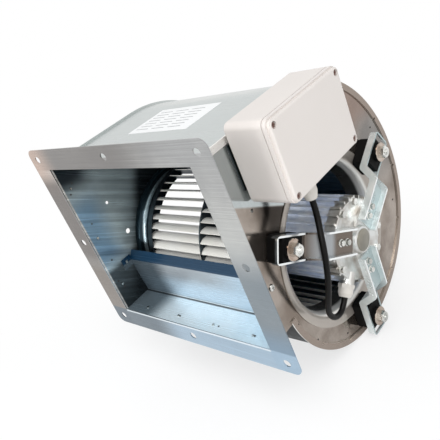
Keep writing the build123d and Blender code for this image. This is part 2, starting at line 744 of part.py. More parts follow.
def motor_end_shield():
    """Outer shield: a finned drum with screw lugs, three pads for the arms and the hub boss."""
    start = HOUSING_END_X
    face = MOTOR_FACE_X
    rim = start + SHIELD_RIM
    fin_radius = HOUSING_RADIUS + FIN_HEIGHT
    shield = turned([
        (start, 0), (start, HOUSING_RADIUS), (rim - 1, HOUSING_RADIUS), (rim, HOUSING_RADIUS - 1),
        (rim, SHIELD_SCREW_CIRCLE - 7), (face - 6, HUB_BOSS_RADIUS + 10), (face - 2.5, HUB_BOSS_RADIUS + 2.5),
        (face + HUB_BOSS_STAND - 1, HUB_BOSS_RADIUS), (face + HUB_BOSS_STAND, HUB_BOSS_RADIUS - 1),
        (face + HUB_BOSS_STAND, 0),
    ])
    pad_reach = fin_radius - 1.5
    pad_face = Pos(pad_reach / 2, 0) * Rectangle(pad_reach, PAD_WIDTH)
    pad_face = pad_face & Circle(pad_reach)
    pad = extrude(at_rotor(rim - 3) * pad_face, amount=face - rim + 3)
    gland_rod = turn(boss_rod(), MOTOR_GLAND_ANGLE)
    shield += extrude(at_rotor(start) * finned_section(), amount=SHIELD_RIM - 2)
    for angle in ARM_ANGLES.values():
        shield += turn(pad, angle)
    for angle in shield_screw_angles():
        shield += off_axis_rod(start, rim, SHIELD_SCREW_CIRCLE, angle, SHIELD_LUG_RADIUS)
    shield += gland_rod
    shield -= disc(start - 1, start + SHIELD_POCKET, HOUSING_BORE - 4, BEARING_RADIUS + 6)
    shield -= disc(start - 1, start + BEARING_WIDTH, BEARING_RADIUS + BEARING_FIT)
    shield -= disc(start, start + BEARING_WIDTH + 4, SHAFT_RADIUS + 3)
    for angle in ARM_ANGLES.values():
        for place in ARM_SCREW_PLACES:
            shield -= off_axis_rod(face - ARM_SCREW_LENGTH - 1, face + 1, place, angle,
                                   ARM_SCREW_RADIUS + CLEARANCE)
    for angle in shield_screw_angles():
        shield -= off_axis_rod(start - 1, rim + 6, SHIELD_SCREW_CIRCLE, angle, ARM_SCREW_RADIUS + CLEARANCE)
    return shield


def boss_rod():
    """Boss under the motor gland, pointing away from the rotor line along +Y."""
    low = (MOTOR_GLAND_X, ROTOR_Y + HOUSING_BORE - 5, ROTOR_Z)
    high = (MOTOR_GLAND_X, ROTOR_Y + GLAND_BOSS_END, ROTOR_Z)
    return round_rod(low, high, SHIELD_DEPTH / 2)


def motor_front_shield():
    """Inner shield with the seat of the inner bearing."""
    start = HOUSING_START_X
    front = start - FRONT_SHIELD_DEPTH
    rim_x = start - FRONT_RIM
    fin_radius = HOUSING_RADIUS + FIN_HEIGHT
    shield = turned([
        (start, 0), (start, fin_radius), (rim_x + FRONT_RIM_BEVEL, fin_radius),
        (rim_x, fin_radius - FRONT_RIM_BEVEL), (rim_x, BEARING_RADIUS + FRONT_SEAT_FOOT),
        (front, BEARING_RADIUS + FRONT_SEAT_WALL), (front, 0),
    ])
    shield -= disc(bearing_seats()[0], start + 1, BEARING_RADIUS + BEARING_FIT)
    return shield - disc(front - 1, start, SHAFT_RADIUS + 2)


def shield_screws():
    """Screws that clamp the outer shield to the housing."""
    screws = []
    seat = HOUSING_END_X + SHIELD_RIM
    for angle in shield_screw_angles():
        head_start = turn(Pos(seat, ROTOR_Y + SHIELD_SCREW_CIRCLE, ROTOR_Z) * Sphere(0.5), angle).center()
        shank = off_axis_rod(HOUSING_END_X, seat, SHIELD_SCREW_CIRCLE, angle, ARM_SCREW_RADIUS)
        head = hexagon(tuple(head_start), (1, 0, 0), 2 * ARM_SCREW_HEAD, 4.0)
        screws.append(shank + head)
    return group(screws)


# Arms

def arm_band(base, depth):
    """Outline along an arm, seen from its side, of a given depth above its underside."""
    low = ARM_LOW_X + base
    high = MOTOR_FACE_X + base
    outer_bend = ARM_BEND + ARM_BEND_RUN
    slope = math.atan2(ARM_DROP, ARM_BEND_RUN)
    shift = depth * math.tan(slope / 2)
    lift = base * math.tan(slope / 2)
    lower = [(ARM_ROOT, high), (ARM_BEND + lift, high), (outer_bend + lift, low), (ARM_END, low)]
    upper = [
        (ARM_END, low + depth),
        (outer_bend + lift + shift, low + depth),
        (ARM_BEND + lift + shift, high + depth),
        (ARM_ROOT, high + depth),
    ]
    outline = make_face(Polyline(*lower, *upper, close=True))
    bends = [corner for corner in outline.vertices() if ARM_ROOT + 1 < corner.X < ARM_END - 1]
    return fillet(bends, ARM_BEND_RADIUS)


def arm_slab(base, depth, half_width):
    """Bent slab along an arm."""
    return extrude(ARM_SIDE * arm_band(base, depth), amount=half_width, both=True)


def motor_arm():
    """Pressed channel from the motor's pad to the top of the rubber block, along +Y."""
    arm = arm_slab(0, ARM_DEPTH, ARM_HALF_WIDTH)
    arm -= arm_slab(ARM_SHEET, ARM_DEPTH, ARM_HALF_WIDTH - ARM_SHEET)
    inside = ARM_HALF_WIDTH - ARM_SHEET
    bridge_low = ARM_TOP_X - ARM_BRIDGE
    arm += arm_box(ARM_END - ARM_SHEET, ARM_END, inside + 0.5, bridge_low, ARM_TOP_X)
    arm -= arm_box(WINDOW_START, ARM_END + 1, inside, ARM_LOW_X - 1, bridge_low)
    arm = arm & arm_plan(ARM_HALF_WIDTH)
    for place in ARM_SCREW_PLACES:
        arm -= off_axis_rod(MOTOR_FACE_X - 1, MOTOR_FACE_X + 2 * ARM_SHEET, place, 0,
                            ARM_SCREW_RADIUS + CLEARANCE)
    return arm


def arm_box(from_axis, to_axis, half_width, x_from, x_to):
    """Box on an arm that points along +Y."""
    low = (x_from, ROTOR_Y + from_axis, ROTOR_Z - half_width)
    high = (x_to, ROTOR_Y + to_axis, ROTOR_Z + half_width)
    return block(low, high)


def arm_plan(half_width):
    """Outline of an arm seen along the rotor line, with a rounded outer end."""
    length = 2 * (ARM_END - ARM_ROOT)
    centre = ARM_END - length / 2
    face = Pos(centre, 0) * RectangleRounded(length, 2 * half_width, ARM_CORNER)
    return extrude(at_rotor(PLATE_OUT_X) * face, amount=2 * SHIELD_DEPTH + ARM_DROP)


def rubber_block():
    """Rubber between the side plate and an arm, with a neck and a bush that carry the washer."""
    inside = ARM_HALF_WIDTH - ARM_SHEET - SOFT_GAP
    under = ARM_LOW_X - SOFT_GAP
    neck_start = WINDOW_START + SOFT_GAP
    rubber = arm_box(BLOCK_START, BLOCK_END, ARM_HALF_WIDTH, BLOCK_SEAT_X, under)
    rubber = chamfer(rubber.edges().filter_by(Axis.X), ARM_CORNER / 2)
    rubber += arm_box(BLOCK_FOOT_START, BLOCK_FOOT_END, inside, PLATE_OUT_X + SOFT_GAP, BLOCK_SEAT_X + 1)
    rubber += arm_box(neck_start, BLOCK_END, inside, under - 1, BLOCK_TOP_X)
    rubber += off_axis_rod(BLOCK_TOP_X - 1, BUSH_TOP_X, STUD_CIRCLE, 0, BUSH_RADIUS)
    bore = STUD_RADIUS + SOFT_GAP
    return rubber - off_axis_rod(PLATE_OUT_X - 1, BUSH_TOP_X + 1, STUD_CIRCLE, 0, bore)


def mount_stud():
    """Bolt from inside the casing through plate, rubber, washer and nut."""
    top = WASHER_SEAT_X + WASHER_THICK + NUT_HEIGHT + STUD_STAND
    shank = off_axis_rod(HALF_WIDTH, top, STUD_CIRCLE, 0, STUD_RADIUS)
    centre = (HALF_WIDTH, ROTOR_Y + STUD_CIRCLE, ROTOR_Z)
    return shank + hexagon(centre, (-1, 0, 0), NUT_FLATS, STUD_HEAD_HEIGHT)


def mount_washer():
    """Large washer on the rubber."""
    start = WASHER_SEAT_X
    washer = off_axis_rod(start, start + WASHER_THICK, STUD_CIRCLE, 0, WASHER_RADIUS)
    return washer - off_axis_rod(start - 1, start + WASHER_THICK + 1, STUD_CIRCLE, 0,
                                 STUD_RADIUS + CLEARANCE)


def mount_nut():
    """Hexagon nut on the washer."""
    start = WASHER_SEAT_X + WASHER_THICK
    nut = hexagon((start, ROTOR_Y + STUD_CIRCLE, ROTOR_Z), (1, 0, 0), NUT_FLATS, NUT_HEIGHT)
    return nut - off_axis_rod(start - 1, start + NUT_HEIGHT + 1, STUD_CIRCLE, 0, STUD_RADIUS + CLEARANCE)


def arm_screw(place):
    """Screw through an arm's web into the pad of the end shield."""
    seat = MOTOR_FACE_X + ARM_SHEET
    shank = off_axis_rod(MOTOR_FACE_X - ARM_SCREW_LENGTH, seat, place, 0, ARM_SCREW_RADIUS)
    return shank + hexagon((seat, ROTOR_Y + place, ROTOR_Z), (1, 0, 0), 2 * ARM_SCREW_HEAD, 4.5)


# Terminal box

def box_outline(shrink):
    """Rounded outline of the box seen from the motor side."""
    return RectangleRounded(BOX_LENGTH - 2 * shrink, BOX_HEIGHT - 2 * shrink, BOX_CORNER - shrink)


def box_slab(x_from, x_to, shrink):
    """Slab with the outline of the box."""
    plane = Plane(origin=(x_from, BOX_CENTRE_Y, BOX_CENTRE_Z), x_dir=(0, 1, 0), z_dir=(1, 0, 0))
    return extrude(plane * box_outline(shrink), amount=x_to - x_from)


def box_corners(distance):
    """Four places at a distance inside the corners of the box."""
    half_y = BOX_LENGTH / 2 - distance
    half_z = BOX_HEIGHT / 2 - distance
    return [(BOX_CENTRE_Y + sy * half_y, BOX_CENTRE_Z + sz * half_z) for sy in (-1, 1) for sz in (-1, 1)]


def terminal_box_base():
    """Open tray with a screw post in each corner and a hole for the gland."""
    tray = box_slab(BOX_BACK_X, BOX_BASE_X, 0)
    tray = fillet(tray.faces().sort_by(Axis.X)[0].edges(), 2.0)
    tray -= box_slab(BOX_BACK_X + BOX_WALL, BOX_BASE_X + 1, BOX_WALL)
    for y, z in box_corners(BOX_SCREW_INSET):
        tray += x_rod(BOX_BACK_X + 1, BOX_BASE_X, y, z, 2 * BOX_SCREW_RADIUS)
    for y, z in box_corners(BOX_SCREW_INSET):
        tray -= x_rod(BOX_BASE_X - 12, BOX_BASE_X + 1, y, z, BOX_SCREW_RADIUS - 1)
    neck = (BOX_GLAND_X, BOX_GLAND_Y, BOX_BOTTOM_Z)
    return tray - round_rod((*neck[:2], neck[2] - 1), (*neck[:2], neck[2] + 4), GLAND_NECK_RADIUS + CLEARANCE)


def terminal_box_gasket():
    """Seal between the tray and the cover."""
    seal = box_slab(BOX_BASE_X, COVER_X, COVER_STEP) - box_slab(BOX_BASE_X - 1, COVER_X + 1, BOX_WALL + 1.5)
    for y, z in box_corners(BOX_SCREW_INSET):
        ear = x_rod(BOX_BASE_X, COVER_X, y, z, 2 * BOX_SCREW_RADIUS - 1)
        seal += ear - x_rod(BOX_BASE_X - 1, COVER_X + 1, y, z, BOX_SCREW_RADIUS)
    return seal


def terminal_box_cover():
    """Cap with a stepped edge and sunk screw seats."""
    step_x = BOX_FACE_X - BOX_COVER_DEPTH / 2
    cap = box_slab(COVER_X, step_x, 0) + box_slab(step_x, BOX_FACE_X, COVER_STEP)
    cap = fillet(cap.faces().sort_by(Axis.X)[-1].edges(), 2.5)
    cap -= box_slab(COVER_X - 1, BOX_FACE_X - BOX_WALL, BOX_WALL + COVER_STEP)
    for y, z in box_corners(BOX_SCREW_INSET):
        cap += x_rod(COVER_X, BOX_FACE_X - 1, y, z, 2 * BOX_SCREW_RADIUS)
    for y, z in box_corners(BOX_SCREW_INSET):
        cap -= x_rod(BOX_FACE_X - 4, BOX_FACE_X + 1, y, z, BOX_SCREW_RADIUS + 1)
        cap -= x_rod(COVER_X - 1, BOX_FACE_X, y, z, BOX_SCREW_RADIUS - 1 + CLEARANCE)
    return cap


def box_cover_screws():
    """Cover screws, sunk in the cover and driven into the tray."""
    screws = []
    for y, z in box_corners(BOX_SCREW_INSET):
        shank = x_rod(BOX_BASE_X - 11, BOX_FACE_X - 4, y, z, BOX_SCREW_RADIUS - 1 - CLEARANCE)
        screws.append(shank + x_rod(BOX_FACE_X - 4, BOX_FACE_X - 1.5, y, z, BOX_SCREW_RADIUS))
    return group(screws)


def terminal_box_bracket():
    """Hat-section plate between the side plate and the box."""
    half = BRACKET_LENGTH / 2
    web_x = BOX_BACK_X - BRACKET_SHEET
    low_z = BOX_CENTRE_Z - BRACKET_HEIGHT / 2 - BRACKET_DROP
    high_z = low_z + BRACKET_HEIGHT
    web = block((web_x, BOX_CENTRE_Y - half, low_z), (BOX_BACK_X, BOX_CENTRE_Y + half, high_z))
    foot_x = PLATE_OUT_X + BRACKET_SHEET
    for side in (-1, 1):
        edge = BOX_CENTRE_Y + side * half
        wall = sorted((edge, edge - side * BRACKET_SHEET))
        foot = sorted((edge, edge + side * BRACKET_FOOT))
        web += block((PLATE_OUT_X, wall[0], low_z), (BOX_BACK_X, wall[1], high_z))
        web += block((PLATE_OUT_X, foot[0], low_z), (foot_x, foot[1], high_z))
    return web


def terminal_strip():
    """Terminal block on the floor of the tray."""
    seat = BOX_BACK_X + BOX_WALL
    half = STRIP_POLES * STRIP_PITCH / 2
    low_z = BOX_CENTRE_Z + STRIP_RISE
    body = block(
        (seat, BOX_CENTRE_Y - half, low_z),
        (seat + STRIP_DEPTH, BOX_CENTRE_Y + half, low_z + STRIP_HEIGHT),
    )
    for step in range(STRIP_POLES):
        y = BOX_CENTRE_Y - half + (step + 0.5) * STRIP_PITCH
        low = (seat + STRIP_DEPTH / 2, y - STRIP_PITCH / 3, low_z - 1)
        high = (seat + STRIP_DEPTH + 1, y + STRIP_PITCH / 3, low_z + STRIP_HEIGHT / 4)
        body -= block(low, high)
    return body


def start_capacitor():
    """Run capacitor that lies in the tray."""
    x = BOX_BACK_X + BOX_WALL + CAPACITOR_RADIUS
    z = BOX_CENTRE_Z - CAPACITOR_DROP
    start = (x, BOX_CENTRE_Y - CAPACITOR_LENGTH / 2, z)
    end = (x, BOX_CENTRE_Y + CAPACITOR_LENGTH / 2, z)
    return chamfer(round_rod(start, end, CAPACITOR_RADIUS).edges().filter_by(GeomType.CIRCLE), 1.5)


# Glands and cable

def gland(start, direction, length):
    """Cable gland: a hexagon at its seat and a tapered clamping nut."""
    plane = Plane(origin=start, z_dir=direction)
    hex_height = length * 0.3
    seat = extrude(plane * RegularPolygon(GLAND_RADIUS, 6), amount=hex_height)
    outline = Polyline(
        (0, hex_height), (GLAND_RADIUS - 1, hex_height), (GLAND_RADIUS - 1, length * 0.7),
        (GLAND_RADIUS - 3.5, length), (CABLE_DIAMETER / 2 - 1, length), (0, length), close=True,
    )
    nut_face = Plane(origin=start, x_dir=plane.x_dir, z_dir=-plane.y_dir) * make_face(outline)
    return seat + revolve(nut_face, Axis(start, direction), 360)


def box_gland():
    """Gland under the terminal box, with its neck through the wall."""
    start = (BOX_GLAND_X, BOX_GLAND_Y, BOX_BOTTOM_Z)
    neck = round_rod(start, (BOX_GLAND_X, BOX_GLAND_Y, BOX_BOTTOM_Z + BOX_WALL + 2), GLAND_NECK_RADIUS)
    return gland(start, (0, 0, -1), BOX_GLAND_LENGTH) + neck


def polar_point(x, distance, angle):
    """Point at a distance and angle from the rotor line."""
    turned_angle = math.radians(angle)
    return (x, ROTOR_Y + distance * math.cos(turned_angle), ROTOR_Z + distance * math.sin(turned_angle))


def motor_gland():
    """Gland on the boss of the end shield."""
    start = polar_point(MOTOR_GLAND_X, GLAND_BOSS_END, MOTOR_GLAND_ANGLE)
    outward = Vector(*start) - Vector(MOTOR_GLAND_X, ROTOR_Y, ROTOR_Z)
    return gland(start, tuple(outward.normalized()), MOTOR_GLAND_END - GLAND_BOSS_END)


def cable_route():
    """Points of the cable from the box gland to the motor gland."""
    end = polar_point(MOTOR_GLAND_X, MOTOR_GLAND_END, MOTOR_GLAND_ANGLE)
    last = polar_point(MOTOR_GLAND_X, MOTOR_GLAND_END + CABLE_LEAD, MOTOR_GLAND_ANGLE)
    return [CABLE_START, *CABLE_WAYPOINTS, last, end]


def motor_cable():
    """Round cable of straight runs joined by arcs as large as the runs allow."""
    points = [Vector(*point) for point in cable_route()]
    radii = []
    for before, here, after in zip(points, points[1:], points[2:]):
        first = here - before
        second = after - here
        half_turn = math.radians(first.get_angle(second)) / 2
        radii.append(0.45 * min(first.length, second.length) / math.tan(half_turn))
    print("cable radii", [round(radius, 1) for radius in radii])
    path = FilletPolyline(*points, radius=radii)
    section = Plane(origin=points[0], z_dir=points[1] - points[0]) * Circle(CABLE_DIAMETER / 2)
    cable = sweep(section, path)
    print("cable length", round(path.length, 1), "volume ratio",
          round(cable.volume / (math.pi * CABLE_DIAMETER ** 2 / 4 * path.length), 4))
    return cable


def build():
    """Write every piece."""
    os.makedirs("parts", exist_ok=True)
    write("outlet_flange", outlet_flange())
    write("scroll_wrapper", scroll_wrapper())
    plate = side_plate()
    write("side_plate_motor", plate)
    write("side_plate_far", mirrored(plate))
    ring = inlet_ring()
    write("inlet_ring_motor", ring)
    write("inlet_ring_far", mirrored(ring))
    write("cutoff_plate", cutoff_plate())
    write("flange_rivets", flange_rivets())
    write("cutoff_screws", cutoff_screws())

    half_disc = DISC_THICK / 2
    ring_face = WHEEL_HALF_WIDTH - RING_THICK
    write("wheel_centre_disc", wheel_centre_disc())
    write("wheel_hub", wheel_hub())
    write("hub_rivets", hub_rivets())
    write("hub_set_screw", set_screw(SET_SCREW_RADIUS))
    write("blades_motor_half", blades(half_disc, ring_face))
    write("blades_far_half", blades(-ring_face, -half_disc))
    end_ring = wheel_ring()
    write("wheel_ring_motor", end_ring)
    write("wheel_ring_far", mirrored(end_ring))

    inner_bearing_x, outer_bearing_x = bearing_seats()
    write("motor_shaft", motor_shaft())
    write("motor_rotor", motor_rotor())
    write("motor_stator", motor_stator())
    write("motor_windings", motor_windings())
    write("motor_housing", motor_housing())
    write("motor_end_shield", motor_end_shield())
    write("motor_front_shield", motor_front_shield())
    write("shield_screws", shield_screws())
    write("bearing_inner", bearing(inner_bearing_x))
    write("bearing_outer", bearing(outer_bearing_x))

    arm = motor_arm()
    rubber = rubber_block()
    for name, angle in ARM_ANGLES.items():
        write("motor_arm_" + name, turn(arm, angle))
        write("rubber_block_" + name, turn(rubber, angle))
    angles = list(ARM_ANGLES.values())
    write("mount_studs", group([turn(mount_stud(), angle) for angle in angles]))
    write("mount_washers", group([turn(mount_washer(), angle) for angle in angles]))
    write("mount_nuts", group([turn(mount_nut(), angle) for angle in angles]))
    screws = [turn(arm_screw(place), angle) for angle in angles for place in ARM_SCREW_PLACES]
    write("arm_screws", group(screws))

    write("terminal_box_bracket", terminal_box_bracket())
    write("terminal_box_base", terminal_box_base())
    write("terminal_box_gasket", terminal_box_gasket())
    write("terminal_box_cover", terminal_box_cover())
    write("box_cover_screws", box_cover_screws())
    write("terminal_strip", terminal_strip())
    write("start_capacitor", start_capacitor())
    write("box_gland", box_gland())
    write("motor_gland", motor_gland())
    write("motor_cable", motor_cable())


build()
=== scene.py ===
"""Looks of a double inlet centrifugal fan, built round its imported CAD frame.

X runs along the rotor line towards the motor, the outlet faces -Y and Z is up.
The origin is the middle of the outlet opening on the flange's front face.
Sizes are in millimetres unless they are said to be in metres.
"""

import logging
import math
from dataclasses import dataclass
from enum import Enum
from typing import Any, Callable, Iterable, Optional, Sequence, Union

import bmesh
import bpy
from bpy.types import Material, Mesh, Node, NodeSocket, NodeTree, Object
from mathutils import Matrix, Vector


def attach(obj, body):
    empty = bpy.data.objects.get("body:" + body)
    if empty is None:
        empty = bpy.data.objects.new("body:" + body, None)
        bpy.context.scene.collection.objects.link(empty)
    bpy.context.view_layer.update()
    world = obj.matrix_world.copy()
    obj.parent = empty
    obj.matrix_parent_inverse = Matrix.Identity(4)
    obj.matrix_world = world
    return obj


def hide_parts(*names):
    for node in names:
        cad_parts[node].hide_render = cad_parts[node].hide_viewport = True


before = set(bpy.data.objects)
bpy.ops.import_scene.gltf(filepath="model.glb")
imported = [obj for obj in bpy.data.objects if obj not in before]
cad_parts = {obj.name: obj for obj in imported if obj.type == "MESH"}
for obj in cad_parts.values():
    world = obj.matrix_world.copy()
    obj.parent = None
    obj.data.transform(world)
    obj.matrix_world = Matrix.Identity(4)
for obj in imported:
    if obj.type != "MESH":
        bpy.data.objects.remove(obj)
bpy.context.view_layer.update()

LOG = logging.getLogger("fan")
MM = 0.001
ROTOR_CENTRE = Vector((0.0, 187.5, -92.0)) * MM
CASING = "casing"
ROTOR = "rotor"
BACKGROUND_RAYS = ("Is Camera Ray", "Is Glossy Ray", "Is Transmission Ray")

# Products of a face's direction and a way: with metres from the rotor line, and with a way of length 1.
FACING_IN = (-1.0, -0.002)
FACING_MOTOR_SIDE = (-9.0, -0.5)

# Numbered sockets: the ranges of a Map Range node, and the colours and result of a Mix node.
FROM_LOW, FROM_HIGH, TO_LOW, TO_HIGH = 1, 2, 3, 4
COLOUR_A, COLOUR_B, MIXED = 6, 7, 2

Point = tuple[float, float, float]
Pair = tuple[float, float]
Radius = Union[float, Callable[[float], float]]
Profile = Sequence[tuple[Radius, float]]
Places = Sequence[tuple[Sequence[float], Sequence[float]]]
Source = Union[Node, NodeSocket]


def linear(hex_colour: str) -> tuple[float, float, float, float]:
    """Turn an sRGB hex colour into linear RGBA.

    Args:
        hex_colour: Six hex digits after a hash sign.

    Returns:
        Linear red, green, blue and an alpha of 1.
    """
    levels = [int(hex_colour[start:start + 2], 16) / 255 for start in (1, 3, 5)]
    return (*[v / 12.92 if v <= 0.04045 else ((v + 0.055) / 1.055) ** 2.4 for v in levels], 1.0)


def wire(
    node: Node,
    values: Optional[dict[Any, Any]] = None,
    links: Optional[dict[Any, Source]] = None,
) -> Node:
    """Set a node's own values and feed its inputs.

    Args:
        node: The node.
        values: Input name or index to the value it holds.
        links: Input name or index to the output that feeds it, or to a node whose first output does.

    Returns:
        The same node.
    """
    for socket, value in (values or {}).items():
        node.inputs[socket].default_value = value
    for socket, source in (links or {}).items():
        output = source.outputs[0] if isinstance(source, Node) else source
        node.id_data.links.new(output, node.inputs[socket])
    return node


def add(
    tree: NodeTree,
    kind: str,
    settings: Union[str, dict[str, Any], None] = None,
    values: Optional[dict[Any, Any]] = None,
    links: Optional[dict[Any, Source]] = None,
) -> Node:
    """Add a node with its settings, its own values and its links.

    Args:
        tree: The node tree that gets the node.
        kind: Blender's name for the kind of node, without ShaderNode in front.
        settings: Properties of the node, or the name of its operation.
        values: Input name or index to the value it holds.
        links: Input name or index to what feeds it.

    Returns:
        The new node.
    """
    made = tree.nodes.new(kind if kind.startswith(("GeometryNode", "NodeGroup")) else "ShaderNode" + kind)
    if isinstance(settings, str):
        settings = {"operation": settings}
    for name, value in (settings or {}).items():
        setattr(made, name, value)
    return wire(made, values, links)


def total(tree: NodeTree, shares: Sequence[Source]) -> Source:
    """Add shares up.

    Args:
        tree: The node tree.
        shares: The shares.

    Returns:
        Their sum, cut off at 1.
    """
    whole = shares[0]
    for share in shares[1:]:
        whole = add(tree, "Math", {"operation": "ADD", "use_clamp": True},
                    links={0: whole, 1: share})
    return whole


class Streaks(Enum):
    """Rolling marks of a sheet, and slanted bands of painted sheen: sizes along X, Y and Z, and a turn about
    X in degrees.

    Real rolling marks are about 0.1 mm wide. That is too fine to show, so they are drawn 1.6 mm wide.
    """

    ALONG_X = (160.0, 1.6, 1.6, 0.0)
    ALONG_Z = (1.6, 1.6, 160.0, 0.0)
    # Slanted bands of painted sheen, for the inside of the far plate.
    SLANTED_BANDS = (8.0, 320.0, 7.0, -32.0)
    CLOUDY = (45.0, 45.0, 45.0, 0.0)


@dataclass(frozen=True)
class Step:
    """A soft edge in space.

    Args:
        direction: The way across the edge.
        start: Distance along it where the tone begins.
        end: Distance along it where the tone is full.
    """

    direction: Point
    start: float
    end: float


def x_step(start: float, end: float) -> Step:
    """Soft edge across X."""
    return Step((1.0, 0.0, 0.0), start, end)


def y_step(start: float, end: float) -> Step:
    """Soft edge across Y."""
    return Step((0.0, 1.0, 0.0), start, end)


def z_step(start: float, end: float) -> Step:
    """Soft edge across Z."""
    return Step((0.0, 0.0, 1.0), start, end)


def arm_step(start: float, end: float) -> Step:
    """Soft edge across the outlet arm's length."""
    return Step((0.0, -0.866, 0.5), start, end)


@dataclass(frozen=True)
class Fade:
    """A second tone between soft edges, painted light: the reflection, shade and highlights that sheet metal
    takes from what stands near it.

    Args:
        tone: Hex colour inside the edges.
        steps: The edges, all of which have to be crossed.
        share: How much of the tone shows, from 0 to 1.
    """

    tone: str
    steps: tuple[Step, ...]
    share: float = 1.0


class Coat:
    """A material while it is being made."""

    def __init__(self, name: str) -> None:
        """Start it with a principled shader and the place and direction of the surface.

        Args:
            name: The finish's name.
        """
        self.made = bpy.data.materials.new(name)
        self.made.use_nodes = True
        self.tree = self.made.node_tree
        self.tree.nodes.clear()
        self.shader = add(self.tree, "BsdfPrincipled")
        self.output = add(self.tree, "OutputMaterial", links={0: self.shader})
        place = add(self.tree, "TexCoord").outputs
        self.spot, self.normal = place["Object"], place["Normal"]

    def pattern(self, size: float, detail: float = 0.0, kind: str = "TexNoise") -> Node:
        """Lay an even pattern over the piece.

        Args:
            size: Size of one patch, grain or crystal.
            detail: Finer levels within it.
            kind: The kind of texture.

        Returns:
            The texture's node.
        """
        scale = [1.0 / (size * MM)] * 3
        scaled = add(self.tree, "Mapping", values={"Scale": scale}, links={"Vector": self.spot})
        return add(self.tree, kind, values={"Scale": 1.0, "Detail": detail}, links={"Vector": scaled})

    def crossed(self, steps: Sequence[Step], most: float = 1.0) -> Optional[Node]:
        """Find how far a place lies beyond all of some soft edges.

        Args:
            steps: The edges.
            most: The value where every edge is crossed.

        Returns:
            A node that gives a value from 0 to that one.
        """
        share = None
        for step in steps:
            along = add(self.tree, "VectorMath", "DOT_PRODUCT", {1: step.direction}, {0: self.spot})
            top = most if share is None else 1.0
            ramp = add(self.tree, "MapRange", {"interpolation_type": "SMOOTHSTEP"},
                       {FROM_LOW: step.start * MM, FROM_HIGH: step.end * MM, TO_LOW: 0.0, TO_HIGH: top},
                       {0: along.outputs["Value"]})
            share = ramp if share is None else add(self.tree, "Math", "MULTIPLY", links={0: share, 1: ramp})
        return share

    def turned_tone(self, colour: Source, tone: str, way: Source, limits: Pair) -> NodeSocket:
        """Give another tone to the faces that are turned one way.

        Args:
            colour: The tone of the other faces.
            tone: Hex colour of the turned faces.
            way: The direction that the faces are compared with.
            limits: Least and greatest product of the two directions.

        Returns:
            The mixed tone.
        """
        low, high = limits
        product = add(self.tree, "VectorMath", "DOT_PRODUCT", links={0: way, 1: self.normal})
        turned = add(self.tree, "Math", "COMPARE", {1: (low + high) / 2, 2: (high - low) / 2},
                     {0: product.outputs["Value"]})
        return add(self.tree, "Mix", {"data_type": "RGBA"}, {COLOUR_B: linear(tone)},
                   {0: turned, COLOUR_A: colour}).outputs[MIXED]


